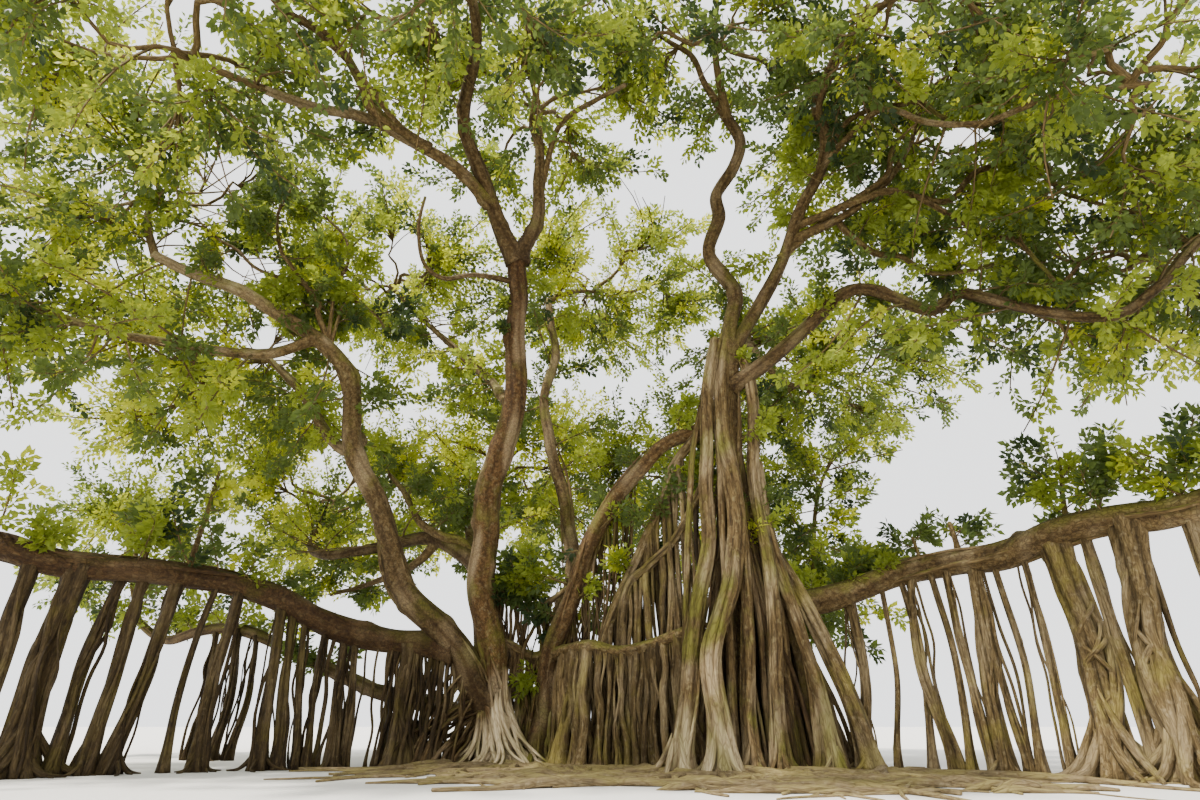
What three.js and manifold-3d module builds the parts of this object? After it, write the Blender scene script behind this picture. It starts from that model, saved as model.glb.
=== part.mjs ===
// A banyan tree: a leaning trunk and stem, a second trunk of fused pillar roots, long level boughs on prop
// roots, and a wide crown of leafy masses. Millimetres, +Z up, origin at the flat cut under the main trunk.
// +Y points away from the side that the tree is seen from, and +X to that side's right.
import * as THREE from "three";
import Module from "manifold-3d";

const wasm = await Module();
wasm.setup();

// Driving dimensions
const clearance = 0.5; // between a limb and what carries it
const woodSmoothing = 0.15; // flat faces that a join split are made whole again within this
const footDepth = 250; // how far a root runs below the ground before it is cut level
const rootFlare = 0.8; // how much wider a prop root is at the ground
const rootFlareHeight = 450;
const ridgeRadius = 120;
const trunkSides = 8;
const limbSides = 6;
const rootSides = 5;
const thinRoot = 200; // roots thinner than this radius have fewer sides
const thinRootSides = 4;
const thinLimb = 170; // limbs thinner than this radius have fewer sides
const thinSides = 5;
const twigSides = 3;
const sprayShare = 0.5; // a spray's length in the mean reach of its mass
const sprayWidth = 0.7; // in its length
const sprayThickness = 0.06; // in its length
const twigRadius = 80; // at the stem, tapering to the tip
const twigTipRadius = 45;
const limbClearance = 130; // between a spray and any limb
const massClearance = 0.04; // between masses, in shares of their reach
const fullTurn = 2 * Math.PI;
const goldenAngle = Math.PI * (3 - Math.sqrt(5));

const barkColour = 0x7d7058;
const rootColour = 0x8d7a5c;
const leafColour = 0x5f7d2a;

// Seeded numbers from 0 to 1: what a large sine leaves after its whole part.
function chance(seed, k) {
  const s = Math.sin(seed * 12.9898 + k * 78.233) * 43758.5453;
  return s - Math.floor(s);
}

const vec = (p) => new THREE.Vector3(p[0], p[1], p[2]);
const mix = (a, b, t) => a.map((v, i) => v + (b[i] - v) * t);

// A smooth route through its bends: a cubic between each two, with slopes from the bends on either side.
function smoothRoute(bends, perSpan) {
  const points = [];
  const last = bends.length - 1;
  for (let i = 0; i < last; i++) {
    const a = bends[Math.max(i - 1, 0)];
    const b = bends[i];
    const c = bends[i + 1];
    const d = bends[Math.min(i + 2, last)];
    for (let k = 0; k < perSpan; k++) {
      const t = k / perSpan;
      points.push(
        b.map((v, j) => {
          const slopeIn = (c[j] - a[j]) / 2;
          const slopeOut = (d[j] - v) / 2;
          const bend = 3 * (c[j] - v) - 2 * slopeIn - slopeOut;
          const twist = slopeIn + slopeOut - 2 * (c[j] - v);
          return v + t * (slopeIn + t * (bend + t * twist));
        }),
      );
    }
  }
  points.push(bends[last]);
  return points;
}

// The point of a limb's smooth route at a share of its length.
function pointAlong(limb, share) {
  const points = smoothRoute(limb.bends, 8).map(vec);
  const lengths = points.map((p, i) => (i ? p.distanceTo(points[i - 1]) : 0));
  let left = share * lengths.reduce((sum, length) => sum + length, 0);
  for (let i = 1; i < points.length; i++) {
    if (left <= lengths[i]) return points[i - 1].clone().lerp(points[i], left / lengths[i]).toArray();
    left -= lengths[i];
  }
  return limb.bends[limb.bends.length - 1];
}

// The share of a limb's length at which its route reaches a given x.
function shareAtX(limb, x) {
  let low = 0;
  let high = 1;
  const rising = pointAlong(limb, 1)[0] > pointAlong(limb, 0)[0];
  for (let k = 0; k < 24; k++) {
    const middle = (low + high) / 2;
    if (pointAlong(limb, middle)[0] < x === rising) low = middle;
    else high = middle;
  }
  return (low + high) / 2;
}

// The radius at a share of a limb's length: an even taper, with a flare where it meets the ground.
function radiusAlong(limb, share, height) {
  const plain = limb.radius + (limb.tip - limb.radius) * share;
  const flare = limb.flare ? limb.flare * Math.exp(-Math.max(height, 0) / limb.flareHeight) : 0;
  return plain * (1 + flare);
}

function solidFrom(corners, triangles) {
  return new wasm.Manifold(
    new wasm.Mesh({
      numProp: 3,
      vertProperties: Float32Array.from(corners),
      triVerts: Uint32Array.from(triangles),
    }),
  );
}

// At each point of a route, the way it runs and two directions square to it that turn as little as they can.
function framesAlong(points) {
  const last = points.length - 1;
  const side = new THREE.Vector3(1, 0.13, 0.07);
  return points.map((point, i) => {
    const along = points[Math.min(i + 1, last)].clone().sub(points[Math.max(i - 1, 0)]).normalize();
    side.addScaledVector(along, -side.dot(along)).normalize();
    return { along, side: side.clone(), across: along.clone().cross(side) };
  });
}

// A limb as one closed tube: rings of corners square to the route, carried along it without twist.
function tube(limb, extra = 0) {
  const sides = limb.sides ?? (limb.radius < thinLimb ? thinSides : limbSides);
  const perSpan = limb.perSpan ?? (limb.bends.length > 6 ? 1 : 2);
  const points = smoothRoute(limb.bends, perSpan).map(vec);
  const last = points.length - 1;
  const lengths = [0];
  for (let i = 1; i <= last; i++) lengths.push(lengths[i - 1] + points[i].distanceTo(points[i - 1]));
  const corners = [];
  const triangles = [];
  for (const [i, { along, side, across }] of framesAlong(points).entries()) {
    const centre = points[i].clone();
    if (i === 0) centre.addScaledVector(along, -extra);
    if (i === last) centre.addScaledVector(along, extra);
    const radius = radiusAlong(limb, lengths[i] / lengths[last], centre.z) + extra;
    for (let k = 0; k < sides; k++) {
      const turn = (2 * Math.PI * k) / sides;
      const corner = centre.clone();
      corner.addScaledVector(side, radius * Math.cos(turn));
      corner.addScaledVector(across, radius * Math.sin(turn));
      corners.push(corner.x, corner.y, corner.z);
    }
  }
  for (let i = 0; i < last; i++) {
    for (let k = 0; k < sides; k++) {
      const a = i * sides + k;
      const b = i * sides + ((k + 1) % sides);
      triangles.push(a, b, a + sides, b, b + sides, a + sides);
    }
  }
  for (let k = 1; k < sides - 1; k++) triangles.push(0, k + 1, k);
  const end = last * sides;
  if (limb.blade) {
    corners.push(...limb.blade.flat());
    for (let k = 0; k < sides; k++) {
      const next = (k + 1) % sides;
      triangles.push(end + k, end + next, end + sides + k, end + next, end + sides + next, end + sides + k);
      triangles.push(end + sides + k, end + sides + next, end + 2 * sides);
    }
  } else {
    for (let k = 1; k < sides - 1; k++) triangles.push(end, end + k, end + k + 1);
  }
  return solidFrom(corners, triangles);
}

const groundBox = new THREE.BoxGeometry(80000, 80000, 4000).translate(0, 0, -2000);
groundBox.deleteAttribute("normal");
groundBox.deleteAttribute("uv");

// Everything below the ground, which the feet of the trunk and roots are cut level with.
const underground = (() => {
  const seen = new Map();
  const corners = [];
  const positions = groundBox.attributes.position;
  const triangles = [...groundBox.index.array].map((i) => {
    const corner = [positions.getX(i), positions.getY(i), positions.getZ(i)];
    const key = corner.join();
    if (!seen.has(key)) {
      seen.set(key, corners.length / 3);
      corners.push(...corner);
    }
    return seen.get(key);
  });
  return solidFrom(corners, triangles);
})();

const union = (solids) => solids.reduce((whole, solid) => whole.add(solid));

// The largest body of a solid: scraps that a cut leaves loose are dropped.
function mainBody(solid) {
  const bodies = solid.decompose();
  return bodies.reduce((largest, body) => (body.volume() > largest.volume() ? body : largest));
}

const boxesMeet = (a, b, reach) =>
  [0, 1, 2].every((i) => a.min[i] - reach < b.max[i] && b.min[i] - reach < a.max[i]);

const limbNodes = []; // each limb, trunk or bundle of roots: its name, tubes, solid and the space it takes

// Adds one woody node made of tubes, cut level at the ground and cut clear of what was there before it.
function addWood(name, tubes, colour = barkColour) {
  let solid = union(tubes.map((limb) => tube(limb)))
    .subtract(underground)
    .asOriginal()
    .simplify(woodSmoothing);
  const kept = union(tubes.map((limb) => tube(limb, clearance))).asOriginal().simplify(woodSmoothing / 3);
  const box = solid.boundingBox();
  for (const other of limbNodes) {
    if (boxesMeet(box, other.kept.boundingBox(), 1)) solid = solid.subtract(other.kept);
  }
  limbNodes.push({ name, tubes, solid: mainBody(solid), kept, colour });
}

const limb = (bends, radius, tip, more = {}) => ({ bends, radius, tip, ...more });

// Roots that spread over the ground from the foot of a trunk: each leaves it at a height and sinks outwards.
function surfaceRoots({ centre, count, start, reach, height, radius, tip, seed, from = 0, to = fullTurn }) {
  const roots = [];
  for (let k = 0; k < count; k++) {
    const angle = from + ((to - from) * (k + 0.3 + 0.4 * chance(seed, k))) / count;
    const bendAngle = angle + 0.5 * (chance(seed, k + 40) - 0.5);
    const length = reach * (0.6 + 0.6 * chance(seed, k + 80));
    const at = (distance, a, z) => [
      centre[0] + distance * Math.cos(a),
      centre[1] + distance * Math.sin(a),
      z,
    ];
    const bends = [
      at(0.3 * start, angle, height),
      at(start, angle, 0.45 * height),
      at(start + 0.35 * length, angle, 0.1 * height),
      at(start + length, bendAngle, -0.7 * tip),
    ];
    roots.push(limb(bends, radius, tip, { sides: thinRootSides, perSpan: 1 }));
  }
  return roots;
}

// The main trunk, leaning and crooked from its ribbed foot to the fork.
const trunk = limb(
  [
    [0, 0, -footDepth],
    [-260, 0, 1400],
    [-530, 0, 3030],
    [-840, -200, 5150],
    [-560, -600, 6780],
    [-110, -1100, 9060],
    [-80, -1500, 10510],
    [30, -2100, 12580],
    [10, -2500, 13950],
  ],
  430,
  265,
  { sides: trunkSides, flare: 0.55, flareHeight: 800 },
);
addWood("main_trunk", [
  trunk,
  ...surfaceRoots({
    centre: [0, 0],
    count: 6,
    start: 620,
    reach: 1500,
    height: 1500,
    radius: 210,
    tip: 80,
    seed: 1,
  }),
]);

// The left stem leaves the trunk near its foot and leans far out to the left.
const leftStem = limb(
  [
    [-150, -60, 900],
    [-890, -400, 2290],
    [-1700, -800, 3250],
    [-2720, -1280, 4200],
    [-3170, -1700, 5680],
    [-3740, -2100, 7140],
    [-4250, -2600, 8700],
    [-4620, -3000, 9890],
    [-5950, -3450, 10980],
    [-7950, -4000, 11960],
    [-9470, -4600, 12380],
  ],
  390,
  120,
  { sides: trunkSides },
);
addWood("left_stem", [leftStem]);
const leftStemBranch = limb(
  [
    pointAlong(leftStem, 0.52),
    [-4560, -1800, 7900],
    [-5600, -1500, 8950],
    [-6660, -1200, 10230],
    [-7610, -1000, 11120],
  ],
  190,
  85,
);
addWood("left_stem_branch", [leftStemBranch]);
const farLeftBough = limb(
  [
    pointAlong(leftStem, 0.71),
    [-6500, -3900, 9750],
    [-8800, -4900, 9600],
    [-11000, -5600, 10000],
  ],
  150,
  80,
);
addWood("far_left_bough", [farLeftBough]);

// The fork at the top of the main trunk.
const forkLeft = limb(
  [
    pointAlong(trunk, 0.985),
    [-630, -3200, 14900],
    [-1180, -4500, 15830],
    [-1050, -6200, 16330],
    [-570, -7600, 16530],
    [-490, -9000, 16460],
  ],
  265,
  115,
);
addWood("fork_left_bough", [forkLeft]);
const forkSide = limb(
  [
    pointAlong(forkLeft, 0.24),
    [-2220, -5200, 15520],
    [-3740, -6200, 15600],
    [-4600, -6900, 15250],
    [-5600, -7800, 14900],
  ],
  200,
  105,
);
addWood("fork_side_bough", [forkSide]);
const forkRight = limb(
  [
    pointAlong(trunk, 0.985),
    [590, -2800, 15230],
    [640, -3300, 16300],
    [680, -3700, 17150],
  ],
  250,
  145,
);
addWood("fork_right_bough", [forkRight]);
const forkOuter = limb(
  [
    pointAlong(forkRight, 0.6),
    [1300, -4200, 17350],
    [2430, -5500, 17080],
    [3220, -6400, 16670],
  ],
  105,
  55,
);
addWood("fork_outer_bough", [forkOuter]);
const thinBranch = limb(
  [
    pointAlong(trunk, 0.94),
    [-1130, -2800, 13000],
    [-1990, -3200, 12610],
    [-2430, -3800, 12700],
    [-2510, -4400, 13380],
    [-2300, -4800, 14200],
  ],
  85,
  40,
);
addWood("thin_side_branch", [thinBranch]);

// A slender stem that leaves the trunk's foot behind it, crooked all the way up.
const slenderStem = limb(
  [
    [100, 150, 600],
    [1150, 850, 1250],
    [1620, 1100, 2700],
    [1570, 1300, 5480],
    [1420, 1500, 7750],
    [890, 1500, 9470],
    [680, 1500, 10930],
    [870, 1700, 13380],
    [610, 2000, 15260],
  ],
  280,
  120,
);
addWood("slender_stem", [slenderStem]);

// The pillar trunk: prop roots that have fused into a second trunk, which carries the right of the crown.
const pillarBend = [6200, -2450, 9200];
const pillarTrunk = limb(
  [
    [5850, -2300, -footDepth],
    [5760, -2350, 3000],
    [5950, -2400, 6500],
    pillarBend,
    [6260, -2500, 11200],
    [6350, -2600, 12500],
    [5870, -2800, 13720],
    [6230, -3000, 14910],
    [6190, -3200, 15710],
    [6640, -3600, 16370],
    [6770, -4000, 16990],
    [6360, -4500, 17530],
  ],
  420,
  130,
  { sides: trunkSides },
);
const pillarFeet = [
  { foot: [4700, -3650], knee: [5050, -3150, 3140], hip: [5560, -2760, 7200], radius: 185 },
  { foot: [5000, -4120], knee: [5020, -3640, 2500], hip: [6180, -3050, 6500], radius: 210 },
  { foot: [6700, -2800], knee: [6520, -2620, 3440], hip: [6520, -2520, 7600], radius: 185 },
  { foot: [6040, -3750], knee: [5860, -3250, 2370], hip: [6180, -2850, 6200], radius: 140 },
  { foot: [7450, -3600], knee: [7250, -2950, 3000], hip: [6560, -2560, 5600], radius: 130 },
];
const pillars = pillarFeet.map(({ foot, knee, hip, radius }) => {
  const bends = [[...foot, -footDepth], [...mix(foot, knee, 0.15), rootFlareHeight], knee, hip, pillarBend];
  return limb(bends, radius, radius, {
    flare: rootFlare,
    flareHeight: rootFlareHeight,
    sides: rootSides,
    perSpan: 1,
  });
});
addWood("pillar_trunk", [
  pillarTrunk,
  ...pillars,
  ...surfaceRoots({
    centre: [5600, -3300],
    count: 4,
    start: 900,
    reach: 1700,
    height: 420,
    radius: 120,
    tip: 55,
    seed: 2,
    from: Math.PI,
  }),
]);

// The boughs of the pillar trunk.
const innerRightBough = limb(
  [
    pointAlong(pillarTrunk, 0.57),
    [7420, -3000, 12510],
    [8180, -3800, 14040],
    [8640, -4900, 14850],
    [8700, -5900, 15350],
    [8300, -6700, 15700],
    [8560, -7800, 16300],
  ],
  200,
  80,
);
addWood("inner_right_bough", [innerRightBough]);
const highRightBough = limb(
  [
    pointAlong(innerRightBough, 0.42),
    [9300, -4300, 13850],
    [10290, -4900, 14350],
    [11100, -5500, 15500],
  ],
  130,
  65,
);
addWood("high_right_bough", [highRightBough]);
const frontRightBough = limb(
  [
    pointAlong(innerRightBough, 0.66),
    [9620, -6800, 15240],
    [10340, -7600, 14040],
    [11190, -8400, 13220],
    [11730, -9400, 12750],
  ],
  95,
  60,
);
addWood("front_right_bough", [frontRightBough]);
const longRightBough = limb(
  [
    pointAlong(pillarTrunk, 0.52),
    [7940, -3600, 10490],
    [9130, -4500, 11330],
    [10740, -5200, 10290],
    [11480, -5600, 10560],
    [12480, -6200, 9580],
    [13610, -7000, 8970],
    [14330, -7400, 9380],
    [15240, -8000, 10230],
  ],
  200,
  95,
);
addWood("long_right_bough", [longRightBough]);
const backRightBough = limb(
  [
    pointAlong(pillarTrunk, 0.59),
    [7200, -1000, 11700],
    [8600, 800, 11300],
    [9800, 2200, 11700],
  ],
  160,
  85,
);
addWood("back_right_bough", [backRightBough]);

// The level boughs that stand on prop roots.
const leftBough = limb(
  [
    pointAlong(leftStem, 0.14),
    [-2760, -620, 2900],
    [-4080, -1000, 3170],
    [-5290, -1800, 3730],
    [-6510, -2500, 4120],
    [-7900, -3600, 4150],
    [-9280, -4600, 4140],
    [-10400, -5300, 4400],
    [-12400, -6400, 4250],
    [-14200, -7400, 4900],
  ],
  320,
  225,
);
addWood("left_bough", [leftBough]);
const rightBough = limb(
  [
    pointAlong(pillarTrunk, 0.2),
    [7700, -1600, 3740],
    [8900, -1800, 4000],
    [10050, -2300, 4400],
    [11010, -3000, 4500],
    [11790, -3800, 4470],
    [12950, -5400, 4780],
    [14010, -7000, 4680],
    [15200, -8600, 4900],
    [16000, -9600, 5500],
  ],
  310,
  290,
);
addWood("right_bough", [rightBough]);

// The boughs behind: two that leave the main trunk low down, two that rise, and one from the pillars.
const backLeftBough = limb(
  [
    pointAlong(trunk, 0.36),
    [-2260, 800, 5970],
    [-4200, 1800, 6050],
    [-6500, 3100, 6000],
    [-7900, 5000, 6800],
  ],
  230,
  110,
);
addWood("back_left_bough", [backLeftBough]);
const lowLeftBough = limb(
  [
    [-250, 150, 1000],
    [-2420, 1000, 1510],
    [-4770, 2000, 2130],
    [-6590, 2600, 2840],
    [-9210, 3200, 3730],
    [-11600, 4000, 3450],
    [-13200, 4700, 4200],
  ],
  250,
  120,
);
addWood("low_left_bough", [lowLeftBough]);
const backCentreBough = limb(
  [
    pointAlong(trunk, 0.31),
    [-1500, 1600, 6300],
    [-1900, 3600, 7400],
    [-1800, 5600, 8600],
  ],
  200,
  110,
);
addWood("back_centre_bough", [backCentreBough]);
const backForkBough = limb(
  [
    pointAlong(trunk, 0.68),
    [-1200, 300, 11200],
    [-2800, 1600, 13200],
    [-4200, 2500, 14800],
  ],
  165,
  85,
);
addWood("back_fork_bough", [backForkBough]);
const backLowBough = limb(
  [
    pointAlong(pillarTrunk, 0.15),
    [7300, -500, 2900],
    [9000, 1500, 3700],
    [8900, 4000, 5600],
    [7400, 6000, 7400],
  ],
  220,
  110,
);
addWood("back_low_bough", [backLowBough]);

// The diagonal bough leans from beside the trunk up into the pillars.
const diagonalBough = limb(
  [
    [850, -100, -footDepth],
    [1130, -200, 2010],
    [1500, -500, 3230],
    [2080, -800, 4750],
    [2540, -1000, 5950],
    [3320, -1300, 7150],
    [4230, -1700, 8020],
    [5590, -2300, 8350],
  ],
  260,
  190,
  { flare: rootFlare, flareHeight: rootFlareHeight },
);
addWood("diagonal_bough", [diagonalBough]);

// Two slanting roots from the pillars to the ground, with the roots that hang from them.
const slantHigh = limb(
  [
    [5300, -2400, 8150],
    [4600, -1900, 7400],
    [4200, -1700, 6400],
    [3540, -1400, 4960],
    [2700, -1250, 2950],
    [2350, -1200, -footDepth],
  ],
  125,
  150,
  { sides: rootSides },
);
const slantLow = limb(
  [
    [5300, -2500, 6600],
    [4430, -2000, 5280],
    [3730, -1800, 4600],
    [3150, -1650, 3700],
    [2900, -1600, -footDepth],
  ],
  120,
  130,
  { sides: rootSides },
);
const hangingRoots = [];
for (let k = 0; k < 5; k++) {
  const top = pointAlong(slantHigh, 0.12 + 0.075 * k);
  const foot = [top[0] + 120 * (chance(3, k) - 0.5), top[1] - 150, -footDepth];
  hangingRoots.push(limb([top, mix(top, foot, 0.5), foot], 75, 90, { sides: thinRootSides, perSpan: 1 }));
}
addWood("slanting_roots", [slantHigh, slantLow, ...hangingRoots], rootColour);

// A low bough from the diagonal bough to the pillars, and the curtain of roots that hangs from it.
const curtainBough = limb(
  [
    pointAlong(diagonalBough, 0.27),
    [2270, -1750, 2730],
    [2950, -2050, 2560],
    [3480, -2250, 2610],
    [4140, -2600, 2810],
    [4980, -3000, 3080],
  ],
  150,
  110,
);
addWood("curtain_bough", [curtainBough]);

// A root from a bough down to a foot on the ground, with a slight bow.
function propRoot(top, foot, radius, seed) {
  const bow = 260 * (chance(seed, 7) - 0.5);
  const middle = mix(top, [...foot, 0], 0.5);
  const bends = [
    top,
    [middle[0] + bow, middle[1] - 0.4 * bow, middle[2]],
    [foot[0] + 0.2 * bow, foot[1], rootFlareHeight],
    [...foot, -footDepth],
  ];
  return limb(bends, radius, radius, {
    sides: radius < thinRoot ? thinRootSides : rootSides,
    flare: rootFlare,
    flareHeight: rootFlareHeight,
    perSpan: 1,
  });
}

// A ridge along the underside of a bough, which joins the roots that hang from it.
function ridgeUnder(bough, from, to, radius) {
  const bends = [];
  const steps = 3;
  for (let k = 0; k <= steps; k++) {
    const share = from + ((to - from) * k) / steps;
    const point = pointAlong(bough, share);
    bends.push([point[0], point[1], point[2] - radiusAlong(bough, share, point[2])]);
  }
  return limb(bends, radius, radius, { sides: rootSides, perSpan: 1 });
}

// A row of roots under a bough, joined by the ridge that they hang from.
function rootCurtain(bough, { from, to, count, radius, spread, seed }) {
  const roots = [ridgeUnder(bough, from, to, radius)];
  for (let k = 0; k < count; k++) {
    const share = from + ((to - from) * k) / (count - 1);
    const top = pointAlong(bough, share);
    const lean = spread * (share - (from + to) / 2) + 60 * (chance(seed, k) - 0.5);
    const foot = [top[0] + lean, top[1] - 120 - 120 * chance(seed, k + 30), -footDepth];
    const size = radius * (0.75 + 0.4 * chance(seed, k + 60));
    const bends = [top, mix(top, foot, 0.55), foot];
    roots.push(limb(bends, size, size * 1.2, { sides: thinRootSides, perSpan: 1 }));
  }
  return roots;
}
addWood(
  "root_curtain",
  rootCurtain(curtainBough, { from: 0.24, to: 0.86, count: 9, radius: 115, spread: 500, seed: 4 }),
  rootColour,
);

// Thin roots that fan out from the pillars down to the right.
const fanCount = 5;
const fanRoots = [];
for (let k = 0; k < fanCount; k++) {
  const share = k / (fanCount - 1);
  const top = mix([6450, -2250, 5900], [6700, -2050, 4800], share);
  const foot = mix([6950, -2050, -footDepth], [8350, -2450, -footDepth], share);
  const middle = mix(top, foot, 0.5);
  middle[0] += 130;
  fanRoots.push(limb([top, middle, foot], 85, 110, { sides: thinRootSides, perSpan: 1 }));
}
addWood("fan_roots", fanRoots, rootColour);
const bigDiagonalRoot = limb(
  [
    [6450, -2450, 5900],
    [7000, -2250, 4900],
    [7500, -2350, 3700],
    [7960, -2500, 2430],
    [8250, -2900, 1200],
    [8380, -3100, -footDepth],
  ],
  150,
  190,
  { sides: rootSides, flare: rootFlare, flareHeight: rootFlareHeight },
);
addWood("big_diagonal_root", [bigDiagonalRoot], rootColour);

// Prop roots in groups: each root by the x where it leaves the bough, its foot and its radius. A ridge under
// the bough joins the roots of a group.
function rootGroup(name, bough, roots, seed) {
  const tubes = roots.map(([x, footX, footY, radius], k) =>
    propRoot(pointAlong(bough, shareAtX(bough, x)), [footX, footY], radius, seed + k),
  );
  const first = shareAtX(bough, roots[0][0]);
  const final = shareAtX(bough, roots[roots.length - 1][0]);
  tubes.push(ridgeUnder(bough, first, final, ridgeRadius));
  addWood(name, tubes, rootColour);
}
rootGroup(
  "left_roots_far",
  leftBough,
  [
    [-13400, -13300, -7150, 210],
    [-12300, -12150, -6600, 150],
    [-11300, -11250, -6050, 170],
  ],
  10,
);
rootGroup(
  "left_roots_outer",
  leftBough,
  [
    [-10400, -10250, -5700, 140],
    [-9700, -9500, -5200, 200],
    [-8990, -8750, -4780, 300],
    [-8290, -8280, -4380, 140],
    [-7980, -7950, -3980, 140],
    [-7430, -7650, -3650, 180],
  ],
  20,
);
rootGroup(
  "left_roots_middle",
  leftBough,
  [
    [-6740, -6760, -3100, 75],
    [-6330, -6250, -2800, 150],
    [-5450, -5150, -2250, 165],
    [-5200, -4820, -2050, 120],
    [-4950, -4500, -1900, 100],
  ],
  30,
);
rootGroup(
  "left_roots_inner",
  leftBough,
  [
    [-4500, -4260, -1750, 90],
    [-4070, -3820, -1400, 130],
    [-3850, -3600, -1200, 100],
    [-2450, -2150, -650, 220],
  ],
  40,
);
rootGroup(
  "right_roots_inner",
  rightBough,
  [
    [8850, 8720, -1800, 160],
    [9600, 9260, -2250, 60],
    [10030, 9950, -2450, 75],
    [10250, 10350, -2750, 120],
    [10600, 10560, -2950, 75],
  ],
  50,
);
rootGroup(
  "right_roots_middle",
  rightBough,
  [
    [10900, 10950, -3150, 90],
    [11380, 11150, -3300, 160],
    [11450, 11480, -3560, 85],
    [11670, 11620, -3750, 75],
  ],
  60,
);
rootGroup(
  "right_roots_outer",
  rightBough,
  [
    [12080, 11900, -4350, 95],
    [12500, 12270, -5050, 330],
    [12850, 12710, -5650, 130],
    [13330, 12950, -6300, 340],
  ],
  70,
);
rootGroup(
  "right_roots_far",
  rightBough,
  [
    [13900, 13750, -7000, 190],
    [14500, 14350, -7800, 140],
    [15100, 15000, -8500, 180],
  ],
  80,
);
rootGroup(
  "back_left_roots",
  lowLeftBough,
  [
    [-9700, -9600, 3100, 110],
    [-8900, -8800, 2900, 150],
    [-8200, -8250, 2800, 90],
  ],
  90,
);

// The masses of leaves: the limb whose tip each grows from, its middle, its reach and its branches.
const masses = [
  ["leaves_left_high", leftStem, [-11300, -3000, 16200], [5600, 5200, 3800], 7],
  ["leaves_left_middle", leftStemBranch, [-11000, 1600, 11900], [5400, 5200, 3800], 6],
  ["leaves_far_left", farLeftBough, [-14000, -6200, 11000], [4600, 5200, 3600], 6],
  ["leaves_front_left", forkSide, [-7400, -9200, 14700], [5200, 4600, 3200], 7],
  ["leaves_front_centre", forkLeft, [-900, -10000, 15500], [4600, 4200, 3000], 6],
  ["leaves_centre_top", forkRight, [600, -3800, 18800], [5000, 4800, 2600], 7],
  ["leaves_back_top_left", backForkBough, [-6000, 3200, 17000], [5400, 5600, 3500], 7],
  ["leaves_back_top_right", slenderStem, [2800, 4600, 17400], [5400, 5400, 3400], 7],
  ["leaves_right_top", pillarTrunk, [5600, -7000, 18500], [4600, 4600, 2600], 6],
  ["leaves_front_right", innerRightBough, [9400, -10000, 15600], [4600, 4200, 3100], 6],
  ["leaves_high_right", highRightBough, [12000, -3800, 17000], [5200, 5200, 3300], 7],
  ["leaves_right_front_low", frontRightBough, [14000, -10000, 12600], [4400, 4200, 3200], 6],
  ["leaves_far_right", longRightBough, [16400, -4700, 11900], [4200, 5000, 3600], 6],
  ["leaves_back_right", backRightBough, [11200, 4600, 13300], [5800, 5400, 3700], 7],
  ["leaves_back_left_low", backLeftBough, [-8500, 8500, 9800], [5800, 5600, 4200], 7],
  ["leaves_back_centre", backCentreBough, [-1500, 9300, 11200], [5400, 5600, 4500], 7],
  ["leaves_back_right_low", backLowBough, [5700, 8400, 10000], [5400, 5400, 4300], 7],
  ["leaves_left_bough_end", leftBough, [-15600, -8000, 6700], [2900, 3000, 2600], 4],
  ["leaves_right_bough_end", rightBough, [17000, -10200, 7500], [2700, 2700, 2500], 4],
  ["leaves_low_left", lowLeftBough, [-14500, 5500, 7000], [3400, 3600, 3000], 4],
].map(([name, bough, middle, reach, branches], k) => ({
  name,
  bough,
  middle,
  reach,
  branches,
  seed: 100 + 7 * k,
}));

// How far out a point lies in a mass's space: 1 at its surface.
const depthIn = (mass, p) => Math.hypot(...p.map((v, i) => (v - mass.middle[i]) / mass.reach[i]));

// A point keeps to a mass's space when no other mass is nearer by the same measure.
function keepsToSpace(mass, p) {
  const own = depthIn(mass, p);
  return own < 1 && masses.every((other) => other === mass || depthIn(other, p) > own + massClearance);
}

// Points along every limb with its thickness there, which leaves and twigs stay clear of.
const limbPoints = limbNodes.flatMap((node) =>
  node.tubes.flatMap((part) => {
    const points = smoothRoute(part.bends, 10);
    return points.map((p, i) => [...p, radiusAlong(part, i / (points.length - 1), p[2]) + limbClearance]);
  }),
);
const clearOfLimbs = (p) =>
  limbPoints.every(([x, y, z, reach]) => Math.hypot(p[0] - x, p[1] - y, p[2] - z) > reach);

// A spray of leaves: a flat blade of eight faces, longest along its direction.
function spray(root, along, face, length) {
  const up = face.clone().addScaledVector(along, -face.dot(along)).normalize();
  const across = up.clone().cross(along);
  const belly = root.clone().addScaledVector(along, 0.45 * length);
  const corners = [
    root,
    root.clone().addScaledVector(along, length),
    belly.clone().addScaledVector(across, (sprayWidth * length) / 2),
    belly.clone().addScaledVector(across, (-sprayWidth * length) / 2),
    belly.clone().addScaledVector(up, (sprayThickness * length) / 2),
    belly.clone().addScaledVector(up, (-sprayThickness * length) / 2),
  ];
  return corners.map((corner) => corner.toArray());
}

// The spray that a branch runs out into: its three sides widen to a flat belly and close to a drooping tip.
function endSpray(end, { along, side, across }, length) {
  const belly = end.clone().addScaledVector(along, 0.4 * length);
  const corners = [0, 1, 2].map((k) => {
    const turn = (2 * Math.PI * k) / twigSides;
    const corner = belly.clone().addScaledVector(side, (2 / 3) * sprayWidth * length * Math.cos(turn));
    return corner.addScaledVector(across, 0.6 * sprayThickness * length * Math.sin(turn));
  });
  const tip = end.clone().addScaledVector(along, 0.95 * length);
  tip.z -= 0.15 * length;
  return [...corners, tip].map((corner) => corner.toArray());
}

// Where the other sprays stand along a branch, on sides of their own, and how far each leans out from it.
const spraysAlong = [
  { share: 0.8, lean: 1.2 },
  { share: 0.58, lean: 1.5 },
];
const sprayFaces = [0, 3, 4, 0, 4, 2, 0, 5, 3, 0, 2, 5, 1, 4, 3, 1, 2, 4, 1, 3, 5, 1, 5, 2];

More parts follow.
